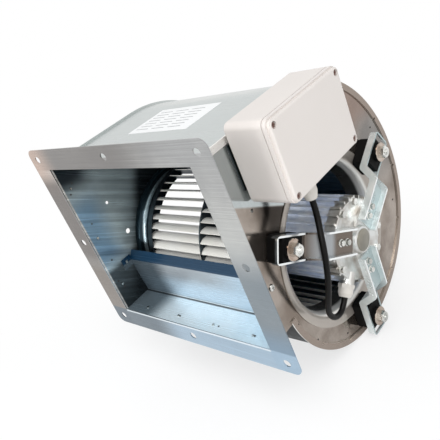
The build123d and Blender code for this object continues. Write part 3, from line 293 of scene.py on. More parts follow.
@dataclass(frozen=True)
class ZincSheet:
    """Hot-dip galvanised steel sheet, rolled and folded.

    The zinc gives a soft grey mirror with faint crystal patches and rolling marks. What stands round a
    sheet colours large parts of it; the inner, front and fade tones paint that in as painted reflection,
    shade and highlights.

    Args:
        name: The finish's name.
        tone: Hex colour of the sheet.
        cloud: Hex colour of its wide cloudy patches.
        roughness: Roughness of the zinc.
        streaks: Lay of the rolling marks.
        inner: Hex colour of the faces that look at the rotor line by the inner axes, within the inner reach:
            painted shade inside the casing, and on the far plate a painted bluish reflection.
        front: Hex colour of the faces turned to the motor's side, a painted reflection of the room.
        fades: Second tones of parts of the sheet: painted reflections, shade and highlights.
        metallic: Lower where the zinc is dull or chromated white.
        crystal: Change of tone from one zinc crystal to the next.
        stripe: Change of tone from one rolling mark to the next.
        striped: Soft edges round the part that has rolling marks, if not all of it has.
        bump: Strength of the rolling marks' relief.
    """

    name: str
    tone: str
    cloud: str
    roughness: float = 0.3
    streaks: Streaks = Streaks.CLOUDY
    inner: Optional[str] = None
    inner_axes: Point = (1.0, 0.0, 0.0)
    inner_reach: float = 149.6
    front: Optional[str] = None
    fades: tuple[Fade, ...] = ()
    metallic: float = 0.9
    cloud_size: float = 95.0
    crystal_size: float = 9.0
    crystal: float = 0.03
    stripe: float = 0.05
    striped: tuple[Step, ...] = ()
    bump: float = 0.04

    def material(self) -> Material:
        """Build the material.

        Returns:
            A material with patches, crystals and rolling marks at their sizes.
        """
        coat = Coat(self.name)
        tree, spot = coat.tree, coat.spot
        clouds = add(tree, "MapRange", values={FROM_LOW: 0.38, FROM_HIGH: 0.62},
                     links={0: coat.pattern(self.cloud_size, 3.0)})
        colour = add(tree, "Mix", {"data_type": "RGBA"},
                     {COLOUR_A: linear(self.tone), COLOUR_B: linear(self.cloud)}, {0: clouds}).outputs[MIXED]
        if self.inner:
            away = add(tree, "VectorMath", "SUBTRACT", {1: tuple(ROTOR_CENTRE)}, {0: spot})
            arm = add(tree, "VectorMath", "MULTIPLY", {1: self.inner_axes}, {0: away})
            side = add(tree, "SeparateXYZ", links={0: spot})
            within = add(tree, "Math", "COMPARE", {1: 0.0, 2: self.inner_reach * MM}, {0: side})
            kept = add(tree, "VectorMath", "SCALE", links={0: arm, "Scale": within})
            colour = coat.turned_tone(colour, self.inner, kept, FACING_IN)
        if self.front:
            back = add(tree, "CombineXYZ", values={"X": -1.0})
            colour = coat.turned_tone(colour, self.front, back, FACING_MOTOR_SIDE)
        for fade in self.fades:
            colour = add(tree, "Mix", {"data_type": "RGBA"}, {COLOUR_B: linear(fade.tone)},
                         {0: coat.crossed(fade.steps, fade.share), COLOUR_A: colour}).outputs[MIXED]
        crystals = coat.pattern(self.crystal_size, kind="TexVoronoi")
        grey = add(tree, "SeparateColor", links={0: crystals.outputs["Color"]})
        light = add(tree, "MapRange", values={TO_LOW: 1.0 - self.crystal, TO_HIGH: 1.0 + self.crystal},
                    links={0: grey})
        *sizes, turn = self.streaks.value
        laid = add(tree, "Mapping", {"vector_type": "TEXTURE"},
                   {"Scale": [size * MM for size in sizes], "Rotation": (math.radians(turn), 0.0, 0.0)},
                   {"Vector": spot})
        streak = add(tree, "TexNoise", values={"Scale": 1.0, "Detail": 4.0}, links={"Vector": laid})
        ranges = (1.0 - self.stripe, 1.0 + self.stripe), (self.roughness * 0.8, self.roughness * 1.25)
        stripe, rough = [
            add(tree, "MapRange", values={FROM_LOW: 0.3, FROM_HIGH: 0.7, TO_LOW: low, TO_HIGH: high},
                links={0: streak}) for low, high in ranges
        ]
        if self.striped:
            stripe = add(tree, "Mix", {"data_type": "FLOAT"}, {2: 1.0},
                         {0: coat.crossed(self.striped), 3: stripe})
        level = add(tree, "Math", "MULTIPLY", links={0: light, 1: stripe})
        shaded = add(tree, "VectorMath", "SCALE", links={0: colour, "Scale": level})
        relief = add(tree, "Bump", values={"Strength": self.bump, "Distance": 0.2 * MM},
                     links={"Height": streak})
        wire(coat.shader, {"Metallic": self.metallic},
             {"Base Color": shaded, "Roughness": rough, "Normal": relief})
        return coat.made


@dataclass(frozen=True)
class Grained:
    """A finish with soft patches of a second tone, and a grain that breaks up the gloss.

    Args:
        name: The finish's name.
        tone: Its hex colour.
        second: Hex colour of its patches.
        roughness: Middling roughness.
        grain: Size of the grain.
        patch: Size of the patches.
        bump: Strength of the grain's relief.
        metallic: How metallic the surface is.
        depth: Depth of the relief.
        spread: Pattern levels between which the first tone turns into the second.
        gloss: Least and greatest roughness, as shares of the middling one.
        specular: Strength of the gloss where it isn't metal.
    """

    name: str
    tone: str
    second: str
    roughness: float
    grain: float
    patch: float
    bump: float
    metallic: float
    depth: float
    spread: Pair
    gloss: Pair
    specular: float = 0.5

    def material(self) -> Material:
        """Build the material.

        Returns:
            A material with patches and grain at their sizes.
        """
        coat = Coat(self.name)
        tree = coat.tree
        patches = add(tree, "MapRange", values=dict(zip((FROM_LOW, FROM_HIGH), self.spread)),
                      links={0: coat.pattern(self.patch, 2.0)})
        tone = add(tree, "Mix", {"data_type": "RGBA"},
                   {COLOUR_A: linear(self.tone), COLOUR_B: linear(self.second)}, {0: patches})
        grain = coat.pattern(self.grain, 3.0)
        rough = add(tree, "MapRange", links={0: grain},
                    values=dict(zip((TO_LOW, TO_HIGH), [self.roughness * share for share in self.gloss])))
        relief = add(tree, "Bump", values={"Strength": self.bump, "Distance": self.depth * MM},
                     links={"Height": grain})
        wire(coat.shader, {"Metallic": self.metallic, "Specular IOR Level": self.specular},
             {"Base Color": tone.outputs[MIXED], "Roughness": rough, "Normal": relief})
        return coat.made


@dataclass(frozen=True)
class Metal(Grained):
    """Cast, turned or plated metal: fine grit, and patches worn bright.

    Casting grit is about 0.2 mm across. That is too fine to show, so it is drawn 1.4 mm across.
    """

    grain: float = 1.4
    patch: float = 18.0
    bump: float = 0.15
    metallic: float = 1.0
    depth: float = 0.3
    spread: Pair = (0.65, 0.35)
    gloss: Pair = (0.7, 1.4)


@dataclass(frozen=True)
class Moulded(Grained):
    """Moulded plastic or rubber, or printed film: no metal, and a fine mould grain.

    Mould grain is about 0.1 mm across. That is too fine to show, so it is drawn 1.2 mm across.
    """

    grain: float = 1.2
    patch: float = 60.0
    bump: float = 0.08
    metallic: float = 0.0
    depth: float = 0.15
    spread: Pair = (0.0, 1.0)
    gloss: Pair = (0.85, 1.15)


class Finishes:
    """Every finish of the fan, each made once."""

    def __init__(self) -> None:
        """Make the materials."""
        # The legs are grey mirrors with painted reflections of the room: warm on the left, dark on the left
        # leg, blue towards the floor. A darker painted shade lies on the top leg, and a painted highlight
        # along the bottom leg's inner edge.
        self.flange = ZincSheet(
            "galvanised_flange", "#a9aaaa", "#bcbdbb", 0.2, Streaks.ALONG_X,
            fades=(
                Fade("#83807e", (z_step(128, 132), x_step(140, 10)), 0.9),
                Fade("#c9b3a6", (x_step(-120, -180), z_step(70, 130)), 0.85),
                Fade("#6f6864", (x_step(-148, -152), z_step(128, 100), z_step(-60, -20)), 0.85),
                Fade("#7f766e", (x_step(-148, -152), z_step(-20, -60)), 0.85),
                Fade("#7b858c", (x_step(147, 149), z_step(40, -30)), 0.85),
                Fade("#8499ab", (x_step(147, 149), z_step(-80, -130)), 0.9),
                Fade("#a5bbcd", (z_step(-129, -132), x_step(-110, -30)), 0.9),
                Fade("#66737d", (z_step(-129, -132), x_step(-15, -85)), 0.9),
                Fade("#e6eef3", (z_step(-134.2, -133.6), z_step(-130.4, -130.9), x_step(-149.6, -148.6),
                                 x_step(149.6, 148.6)), 0.9),
            ),
            crystal=0.015, stripe=0.12,
        ).material()
        # Pale and soft on top, with painted near-black shade under the front of the scroll and painted shade
        # on the faces inside. Faces turned to the motor's side and the rims carry a painted brown reflection,
        # and the rims painted highlights.
        self.wrapper = ZincSheet(
            "galvanised_wrapper", "#c6cac8", "#d6d8d6", 0.32, Streaks.ALONG_X, inner="#59666c",
            inner_axes=(0.0, 1.0, 1.0), front="#9a8d83",
            fades=(
                Fade("#0d0d0d", (z_step(-110, -130), y_step(175, 120), x_step(150.2, 150.0)), 0.98),
                Fade("#c6cbca", (Step((0.0, 1.0, -1.0), 80, 52), z_step(100, 120))),
                Fade("#c6cbca", (x_step(-149.8, -150.1),)),
                Fade("#aea69d", (x_step(150.3, 150.5), x_step(152.15, 152.05))),
                Fade("#faf6ef", (x_step(150.3, 150.5), x_step(152.15, 152.05), y_step(235, 190))),
                Fade("#fdfdfb", (x_step(147.2, 147.8), x_step(149.6, 149.1), z_step(100, 110),
                                 y_step(190, 140))),
                Fade("#fdfdfb", (x_step(151.2, 151.5), z_step(100, 110), y_step(190, 140))),
            ),
            crystal=0.012, stripe=0.025,
        ).material()
        # A painted warm brown-grey reflection of the room, with a painted light reflection beside the
        # terminal box, painted shade below it and on the inner face, and painted grey and red-brown
        # reflections further back.
        self.plate_motor = ZincSheet(
            "galvanised_plate_motor", "#84786e", "#a89e95", 0.13, Streaks.ALONG_Z, inner="#59666c",
            fades=(
                Fade("#bcc3c4", (Step((0.0, 0.6, 1.0), 75, 79), y_step(190, 160)), 0.95),
                Fade("#17120e", (y_step(48, 82), y_step(136, 114), Step((0.0, 0.6, 1.0), 79, 75),
                                 z_step(-52, -16)), 0.88),
                Fade("#77797a", (y_step(275, 330), z_step(-130, -40)), 0.6),
                Fade("#9c7f70", (y_step(250, 290), z_step(0, 40), z_step(110, 60)), 0.5),
            ),
            cloud_size=48.0, crystal=0.015, bump=0.02,
        ).material()
        # Pale outside. Inside the duct: a painted bluish tone, a painted blue reflection near the outlet,
        # painted shade that darkens towards the wheel, slanted bands of painted sheen, and a painted light
        # line at the outlet edge.
        inside = x_step(-149.7, -149.4)
        self.plate_far = ZincSheet(
            "galvanised_plate_far", "#b3b1ad", "#c4c3bf", 0.25, Streaks.SLANTED_BANDS, inner="#a9b8bc",
            fades=(
                Fade("#5384a8", (inside, y_step(62, 22), z_step(85, 45), z_step(-62, -30)), 0.65),
                Fade("#0c171d", (inside, Step((0.0, 1.0, -0.6), 84, 112)), 0.96),
                Fade("#111b26", (inside, z_step(68, 106), y_step(70, 32)), 0.94),
                Fade("#1e2a30", (inside, z_step(96, 128)), 0.75),
                Fade("#23292c", (inside, z_step(-51, -65)), 0.88),
                Fade("#262e31", (inside, z_step(-80, -128), y_step(50, 10)), 0.7),
                Fade("#d8d5d0", (inside, y_step(4.4, 3.6)), 0.95),
            ),
            metallic=0.4, stripe=0.4, striped=(inside,),
        ).material()
        # The duct's floor has a painted pale blue reflection of the daylight; its riser has painted blue-grey
        # and grey reflections, its left end and crease painted shade, and its tongue a painted dark blue
        # shade.
        self.cutoff = ZincSheet(
            "galvanised_cutoff", "#daf0fb", "#e8f6fc", 0.24, Streaks.ALONG_X,
            fades=(
                Fade("#9db3c6", (z_step(-130.4, -127), y_step(47, 49)), 0.7),
                Fade("#8e8c8a", (z_step(-108, -80), x_step(110, 10)), 0.65),
                Fade("#48565f", (x_step(-60, -104),), 0.88),
                Fade("#12171c", (z_step(-129.4, -130.4), y_step(48.5, 50.5)), 0.9),
                Fade("#153852", (z_step(-66.5, -65.5),)),
            ),
            metallic=0.4, stripe=0.012, bump=0.006,
        ).material()
        # Rolled rings are bright and smooth, with painted shade in the throat and a painted brown reflection
        # on the outer flare.
        self.ring = ZincSheet(
            "galvanised_ring", "#e6e5e0", "#f2f1ec", 0.2,
            fades=(
                Fade("#0c0e0f", (x_step(137, 131),), 0.95),
                Fade("#aaa198", (x_step(145.5, 148.5),), 0.9),
            ),
            metallic=0.45, crystal=0.0, stripe=0.02, bump=0.0,
        ).material()
        # The far ring has painted dark shade outside the plate, a painted navy-blue shade on its roll and a
        # painted light band inside.
        self.ring_far = ZincSheet(
            "galvanised_ring_far", "#dddcd7", "#eae9e4", 0.2,
            fades=(
                Fade("#26353d", (x_step(-151.6, -150.6),)),
                Fade("#4e6874", (x_step(-150.4, -150.1), x_step(-148.2, -148.9)), 0.8),
                Fade("#b3c4cb", (x_step(-145.4, -144.2), x_step(-138.6, -139.8)), 0.9),
            ),
            metallic=0.8, crystal=0.0, stripe=0.02, bump=0.0,
        ).material()
        # Blades catch the daylight on their outer faces, and their hollow faces carry a painted deep blue
        # shade.
        self.blade = ZincSheet("galvanised_blade", "#faf7ef", "#fdfbf6", 0.35, Streaks.ALONG_X,
                               inner="#172c3d", inner_axes=(0.0, 1.0, 1.0), metallic=0.05, stripe=0.02,
                               crystal=0.0, bump=0.0).material()
        # Disc, end rings and bracket stand in shade, painted in as a dull dark tone.
        self.wheel = ZincSheet("galvanised_wheel", "#3d464b", "#4d565a", crystal=0.01, bump=0.0).material()
        self.bracket = ZincSheet("galvanised_bracket", "#34393b", "#43484a", 0.4).material()
        # Bright zinc plating with a cold shine. The outlet arm has a painted dark reflection of the room
        # between two light ends, a painted brown reflection on faces turned to the motor's side, and painted
        # highlights along its edges.
        self.arm = ZincSheet(
            "zinc_plated_arm", "#dde5e7", "#eef3f3", 0.18, Streaks.ALONG_X, cloud_size=28.0,
            front="#6e635a",
            fades=(
                Fade("#b4bbc0", (arm_step(-150, -136), arm_step(-106, -122)), 0.7),
                Fade("#1a1613", (arm_step(-112, -102),), 0.8),
                Fade("#f3f6f6", (x_step(197.2, 197.8),)),
                Fade("#f3f6f6", (x_step(175.7, 176.3), x_step(177.2, 176.8), arm_step(-102, -99))),
            ),
            crystal=0.0, stripe=0.03, metallic=0.7, bump=0.0,
        ).material()
        # The side arms have a painted grey-blue reflection on faces turned to the motor's side and a painted
        # highlight along the top edge.
        self.side_arm = ZincSheet(
            "zinc_plated_side_arm", "#dde7e7", "#f0f5f4", 0.25, cloud_size=24.0, front="#aebcbd",
            fades=(Fade("#f3f6f6", (x_step(197.2, 197.8),)),),
            crystal=0.0, stripe=0.03, metallic=0.5, bump=0.0,
        ).material()
        # Plated screws and nuts glitter white; the large washers carry a painted warm reflection of the room,
        # like coins.
        self.bright = Metal("zinc_plated_fastener", "#e9e9e5", "#b9bab6", 0.2).material()
        self.washer = Metal("zinc_plated_washer", "#c4b8ad", "#a08a7b", 0.07, bump=0.01).material()
        # Die-cast shields are light and sandy; the finned tube is colder and coarser, and its tone is raised
        # near white as painted light where the box shades it.
        self.casting = Metal("die_cast_aluminium", "#dcdedd", "#b8b4ae", 0.3).material()
        self.housing = Metal("extruded_aluminium", "#f1f6ff", "#cfdbf0", 0.22, 3.0,
                             metallic=0.2, bump=0.04).material()
        # A thin pressed cap, duller and browner than the boss round it.
        self.cap = Metal("pressed_steel_cap", "#989489", "#86837b", 0.32).material()
        # Inside the motor: dull stamped laminations, lacquered copper and a ground shaft with a fine shine.
        self.core = Metal("lamination_steel", "#7b7d80", "#66686b", 0.45).material()
        self.copper = Metal("enamelled_copper", "#b46a3c", "#8f4d28", 0.35, metallic=0.8).material()
        self.shaft = Metal("ground_steel", "#c6c8ca", "#a9abad", 0.18).material()
        # Rubber swallows the light: the blocks are matt black, the cable's sheath has a faint sheen.
        self.rubber = Moulded("moulded_rubber", "#060606", "#0b0a0a", 0.7, bump=0.1, specular=0.15).material()
        self.sheath = Moulded("rubber_sheath", "#060505", "#0a0908", 0.38, 2.0, bump=0.03,
                              specular=0.16).material()
        # Box plastic is an even warm grey with a satin face; the glands are a little yellower.
        self.box = Moulded("moulded_box_plastic", "#ded7d1", "#e3dcd7", 0.4).material()
        self.gland = Moulded("moulded_polyamide", "#d6d0c8", "#dedad3", 0.4).material()
        self.gasket = Moulded("foam_gasket", "#cbc4be", "#d3ccc6", 0.7).material()
        # The cover's sunk screws sit in shade, painted in as a brown tone.
        self.screw_well = Moulded("recessed_screw", "#8a6a60", "#75574e", 0.35, patch=3.0).material()
        # Film and print: a smooth white sheet and even grey bars; holes show as dark dots of painted shade.
        self.label = Moulded("vinyl_label", "#f4f5f4", "#fafafa", 0.35, bump=0.02).material()
        self.ruling = Moulded("printed_ruling", "#7c7e80", "#8c8e90", 0.45, bump=0.0).material()
        self.mark = Moulded("punched_hole_shade", "#2c2725", "#1f1b1a", 0.7, bump=0.0).material()


def linked(name: str, data: Any) -> Object:
    """Put a new object in the scene.

    Args:
        name: The object's name.
        data: Its mesh, curve, lamp or camera.

    Returns:
        The object, at the origin.
    """
    made = bpy.data.objects.new(name, data)
    bpy.context.scene.collection.objects.link(made)
    return made


def placed(points: Iterable[Sequence[float]], way: Sequence[float]) -> Places:
    """Places at points in millimetres, all facing one way."""
    return [(Vector(point) * MM, way) for point in points]


def mesh_of(make: bmesh.types.BMesh, name: str) -> Mesh:
    """Turn a bmesh into a mesh and free it.

    Args:
        make: The bmesh.
        name: The mesh's name.

    Returns:
        The mesh, with its faces pointing outwards.
    """
    mesh = bpy.data.meshes.new(name)
    bmesh.ops.recalc_face_normals(make, faces=make.faces)
    make.to_mesh(mesh)
    make.free()
    return mesh


def smooth(mesh: Mesh, angle: float = 35.0) -> None:
    """Shade a mesh smooth, and keep edges past an angle in degrees sharp."""
    mesh.polygons.foreach_set("use_smooth", [True] * len(mesh.polygons))
    mesh.set_sharp_from_angle(angle=math.radians(angle))


def lathe(profile: Profile, segments: int = 32, closed: bool = False, sharp: float = 35.0) -> Mesh:
    """Turn a profile round local Z.

    Args:
        profile: Radius and height of each corner, from the bottom's middle to the top's. A radius may be
            a function of the angle.
        segments: Steps round the axis.
        closed: Whether the profile stays off the axis and closes on itself.
        sharp: Angle in degrees past which an edge stays sharp.

    Returns:
        A closed mesh.
    """
    make = bmesh.new()
    angles = [math.tau * step / segments for step in range(segments)]
    rows = []
    for radius, height in profile:
        if radius == 0:
            rows.append([make.verts.new((0, 0, height * MM))] * segments)
            continue
        reaches = [(radius(angle) if callable(radius) else radius) * MM for angle in angles]
        rows.append([make.verts.new((reach * math.cos(angle), reach * math.sin(angle), height * MM))
                     for reach, angle in zip(reaches, angles)])
    if closed:
        rows.append(rows[0])
    for low, high in zip(rows, rows[1:]):
        for step in range(segments):
            after = (step + 1) % segments
            # A corner on the axis is one vertex, so a face there has three corners.
            make.faces.new(list(dict.fromkeys((low[step], low[after], high[after], high[step]))))
    mesh = mesh_of(make, "turned")
    smooth(mesh, sharp)
    return mesh


def hex_nut(flats: float, height: float, bore: float = 0.0) -> Mesh:
    """Hexagon with a chamfered rim, and a bore where one is given.

    Args:
        flats: Size across flats.
        height: Height.
        bore: Bore radius, or 0 for a solid head.

    Returns:
        A closed mesh standing on its origin.
    """

    def side(angle: float) -> float:
        """Distance from the axis to the hexagon's side at an angle."""
        return min(flats / math.sqrt(3), flats / 2 / math.cos(angle % (math.pi / 3) - math.pi / 6))

    rim_start, rim_radius, countersink = height * 0.86, flats * 0.48, 0.5
    profile = [(side, 0), (side, rim_start), (rim_radius, height)]
    if bore:
        profile += [(bore + countersink, height), (bore, height - countersink), (bore, 0)]
    else:
        profile = [(0, 0), *profile, (0, height)]
    return lathe(profile, 24, closed=bore > 0, sharp=20.0)


def boxes(corners: Iterable[tuple[Point, Point]]) -> Mesh:
    """Join closed boxes into one mesh.

    Args:
        corners: Two opposite corners of each box.

    Returns:
        The mesh.
    """
    make = bmesh.new()
    for low, high in corners:
        for vert in bmesh.ops.create_cube(make, size=1.0)["verts"]:
            vert.co = Vector([(a if side < 0 else b) * MM for a, b, side in zip(low, high, vert.co)])
    return mesh_of(make, "boxes")


def cross_screw(radius: float, height: float) -> Mesh:
    """Round head with a cross recess, on a short shank.

    Args:
        radius: Head radius.
        height: Head height.

    Returns:
        A closed mesh with the head standing on its origin.
    """
    screw = lathe([(0, -6.0), (2.0, -6.0), (2.0, 0), (radius, 0), (radius, height * 0.7),
                   (radius * 0.85, height), (0, height)], 28)
    long, wide, floor = radius * 0.62, radius * 0.16, height - 1.3
    # The second arm reaches 0.01 mm further, so that no two faces of the cutter lie in one plane.
    cross = boxes([((-long, -wide, floor), (long, wide, height + 1)),
                   ((-wide, -long, floor - 0.01), (wide, long, height + 1.01))])
    head, cutter = linked("head", screw), linked("cutter", cross)
    cut = head.modifiers.new("recess", "BOOLEAN")
    cut.operation = "DIFFERENCE"
    cut.solver = "EXACT"
    cut.use_self = True
    cut.object = cutter
    mesh = bpy.data.meshes.new_from_object(head.evaluated_get(bpy.context.evaluated_depsgraph_get()))
    for made in (head, cutter):
        bpy.data.objects.remove(made)
    mesh.materials.clear()
    return mesh


def joined(meshes: Sequence[Mesh]) -> Mesh:
    """Join meshes that share one material list.

    Args:
        meshes: The meshes.

    Returns:
        One mesh.
    """
    make = bmesh.new()
    for mesh in meshes:
        make.from_mesh(mesh)
    result = bpy.data.meshes.new("joined")
    make.to_mesh(result)
    make.free()
    for finish in meshes[0].materials:
        result.materials.append(finish)
    return result


def show(
    name: str,
    mesh: Mesh,
    slot: str,
    *stands_for: str,
    finish: Optional[Material] = None,
    body: str = CASING,
) -> None:
    """slot: Name of a material slot; not used.
        stands_for: CAD nodes that it replaces.
        finish: Its material, unless the mesh has one.
        body: The CAD body it moves with.
    """
    mesh.name = name
    if finish is not None:
        mesh.materials.clear()
        mesh.materials.append(finish)
    piece = linked(name, mesh)
    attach(piece, body)
    if stands_for:
        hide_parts(*stands_for)
    LOG.info("%s: %d faces, rides on %s", name, len(mesh.polygons), body)


def paint(finish: Material, *nodes: str) -> None:
    """Give CAD nodes that keep their shape a better material.

    Args:
        finish: The material.
        nodes: The nodes' names.
    """
    for node in nodes:
        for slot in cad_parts[node].material_slots:
            slot.material = finish
    LOG.info("%s on %s", finish.name, ", ".join(nodes))


class Repeater:
    """Geometry Nodes tree that repeats one item."""

    def __init__(self, name: str, **inputs: str) -> None:
        """Start the tree with its inputs.

        Args:
            name: The tree's name.
            inputs: Name and kind of each input that this tree has beyond the usual ones.
        """
        self.tree = bpy.data.node_groups.new(name, "GeometryNodeTree")
        face = self.tree.interface
        # A modifier hands its own mesh to the first input.
        kinds = {"Places": "Geometry", "Item": "Object", "Finish": "Material", **inputs}
        self.sockets = {
            label: face.new_socket(label, in_out="INPUT", socket_type="NodeSocket" + kind).identifier
            for label, kind in kinds.items()
        }
        face.new_socket("Pieces", in_out="OUTPUT", socket_type="NodeSocketGeometry")
        self.entry = add(self.tree, "NodeGroupInput").outputs

    def end(self, **links: Source) -> None:
        """Set the item on points, make the copies real, give them the finish and end the tree.

        Args:
            links: What feeds the points and the turn of the copies.
        """
        item = add(self.tree, "GeometryNodeObjectInfo", links={0: self.entry["Item"]})
        copies = add(self.tree, "GeometryNodeInstanceOnPoints",
                     links={"Instance": item.outputs["Geometry"], **links})
        real = add(self.tree, "GeometryNodeRealizeInstances", links={0: copies})
        painted = add(self.tree, "GeometryNodeSetMaterial",
                      links={"Geometry": real, "Material": self.entry["Finish"]})
        add(self.tree, "NodeGroupOutput", links={0: painted})

    def run(self, base: Mesh, item: Mesh, **values: Any) -> Mesh:
        """Run the tree once and keep its result as a plain mesh.

        Args:
            base: Mesh of the object that carries the modifier.
            item: The mesh that is repeated.
            values: Input name to value.

        Returns:
            The mesh that the tree made.
        """
        carrier, repeated = linked("carrier", base), linked("item", item)
        modifier = carrier.modifiers.new("tree", "NODES")
        modifier.node_group = self.tree
        for label, value in {"Item": repeated, **values}.items():
            modifier[self.sockets[label]] = value
        graph = bpy.context.evaluated_depsgraph_get()
        mesh = bpy.data.meshes.new_from_object(carrier.evaluated_get(graph))
        carrier.modifiers.clear()
        for made in (carrier, repeated):
            bpy.data.objects.remove(made)
        return mesh


class Copies(Repeater):
    """Geometry Nodes tree that sets copies of one item on given places."""

    def __init__(self) -> None:
        """Build the tree: places and turns come from the points, the item from an object."""
        super().__init__("copies_on_places")
        turn = add(self.tree, "GeometryNodeInputNamedAttribute", {"data_type": "FLOAT_VECTOR"},
                   {"Name": "turn"})
        self.end(Points=self.entry["Places"], Rotation=turn.outputs["Attribute"])

    def place(self, item: Mesh, places: Places, finish: Material) -> Mesh:
        """Set copies of an item on places.

        Args:
            item: The mesh that is repeated, standing on its origin along local Z.
            places: A point in metres and the direction that local Z takes there, for each copy.
            finish: The material of all copies.

        Returns:
            One plain mesh with every copy.
        """
        points = bpy.data.meshes.new("places")
        points.from_pydata([tuple(point) for point, _ in places], [], [])
        turns = points.attributes.new("turn", "FLOAT_VECTOR", "POINT")
        for entry, (_, direction) in zip(turns.data, places):
            entry.vector = Vector(direction).to_track_quat("Z", "Y").to_euler()
        return self.run(points, item, Finish=finish)


class Ring(Repeater):
    """Geometry Nodes tree that repeats one item round local Z."""

    def __init__(self) -> None:
        """Build the tree: a count sets the pitch of the ring."""
        super().__init__("copies_in_a_ring", Count="Int")
        points = add(self.tree, "GeometryNodePoints", links={"Count": self.entry["Count"]})
        pitch = add(self.tree, "Math", "DIVIDE", {0: math.tau},
                    {1: self.entry["Count"]})
        index = add(self.tree, "GeometryNodeInputIndex")
        angle = add(self.tree, "Math", "MULTIPLY", links={0: index, 1: pitch})
        turn = add(self.tree, "CombineXYZ", links={"Z": angle})
        self.end(Points=points, Rotation=turn)

    def repeat(
        self, item: Mesh, count: int, finish: Material, place: Matrix
    ) -> Mesh:
        """Repeat an item round local Z and move the ring to its place.

        Args:
            item: The mesh that is repeated.
            count: Copies in the whole turn.
            finish: The material of all copies.
            place: Where local Z and its origin go in the fan.

        Returns:
            One plain mesh, in place.
        """
        mesh = self.run(bpy.data.meshes.new("ring"), item, Count=count, Finish=finish)
        mesh.transform(place)
        return mesh


def rotor_matrix(x: float) -> Matrix:
    """Matrix from local (away from the line, round it, along it) to the rotor line at x."""
    turn = Matrix(((0, 0, 1, 0), (1, 0, 0, 0), (0, 1, 0, 0), (0, 0, 0, 1)))
    return Matrix.Translation(ROTOR_CENTRE + Vector((x * MM, 0, 0))) @ turn


def at_polar(x: float, distance: float, angle: float) -> Vector:
    """Point in metres at a distance and an angle in degrees from the rotor line."""
    turned = math.radians(angle)
    return ROTOR_CENTRE + Vector((x, distance * math.cos(turned), distance * math.sin(turned))) * MM


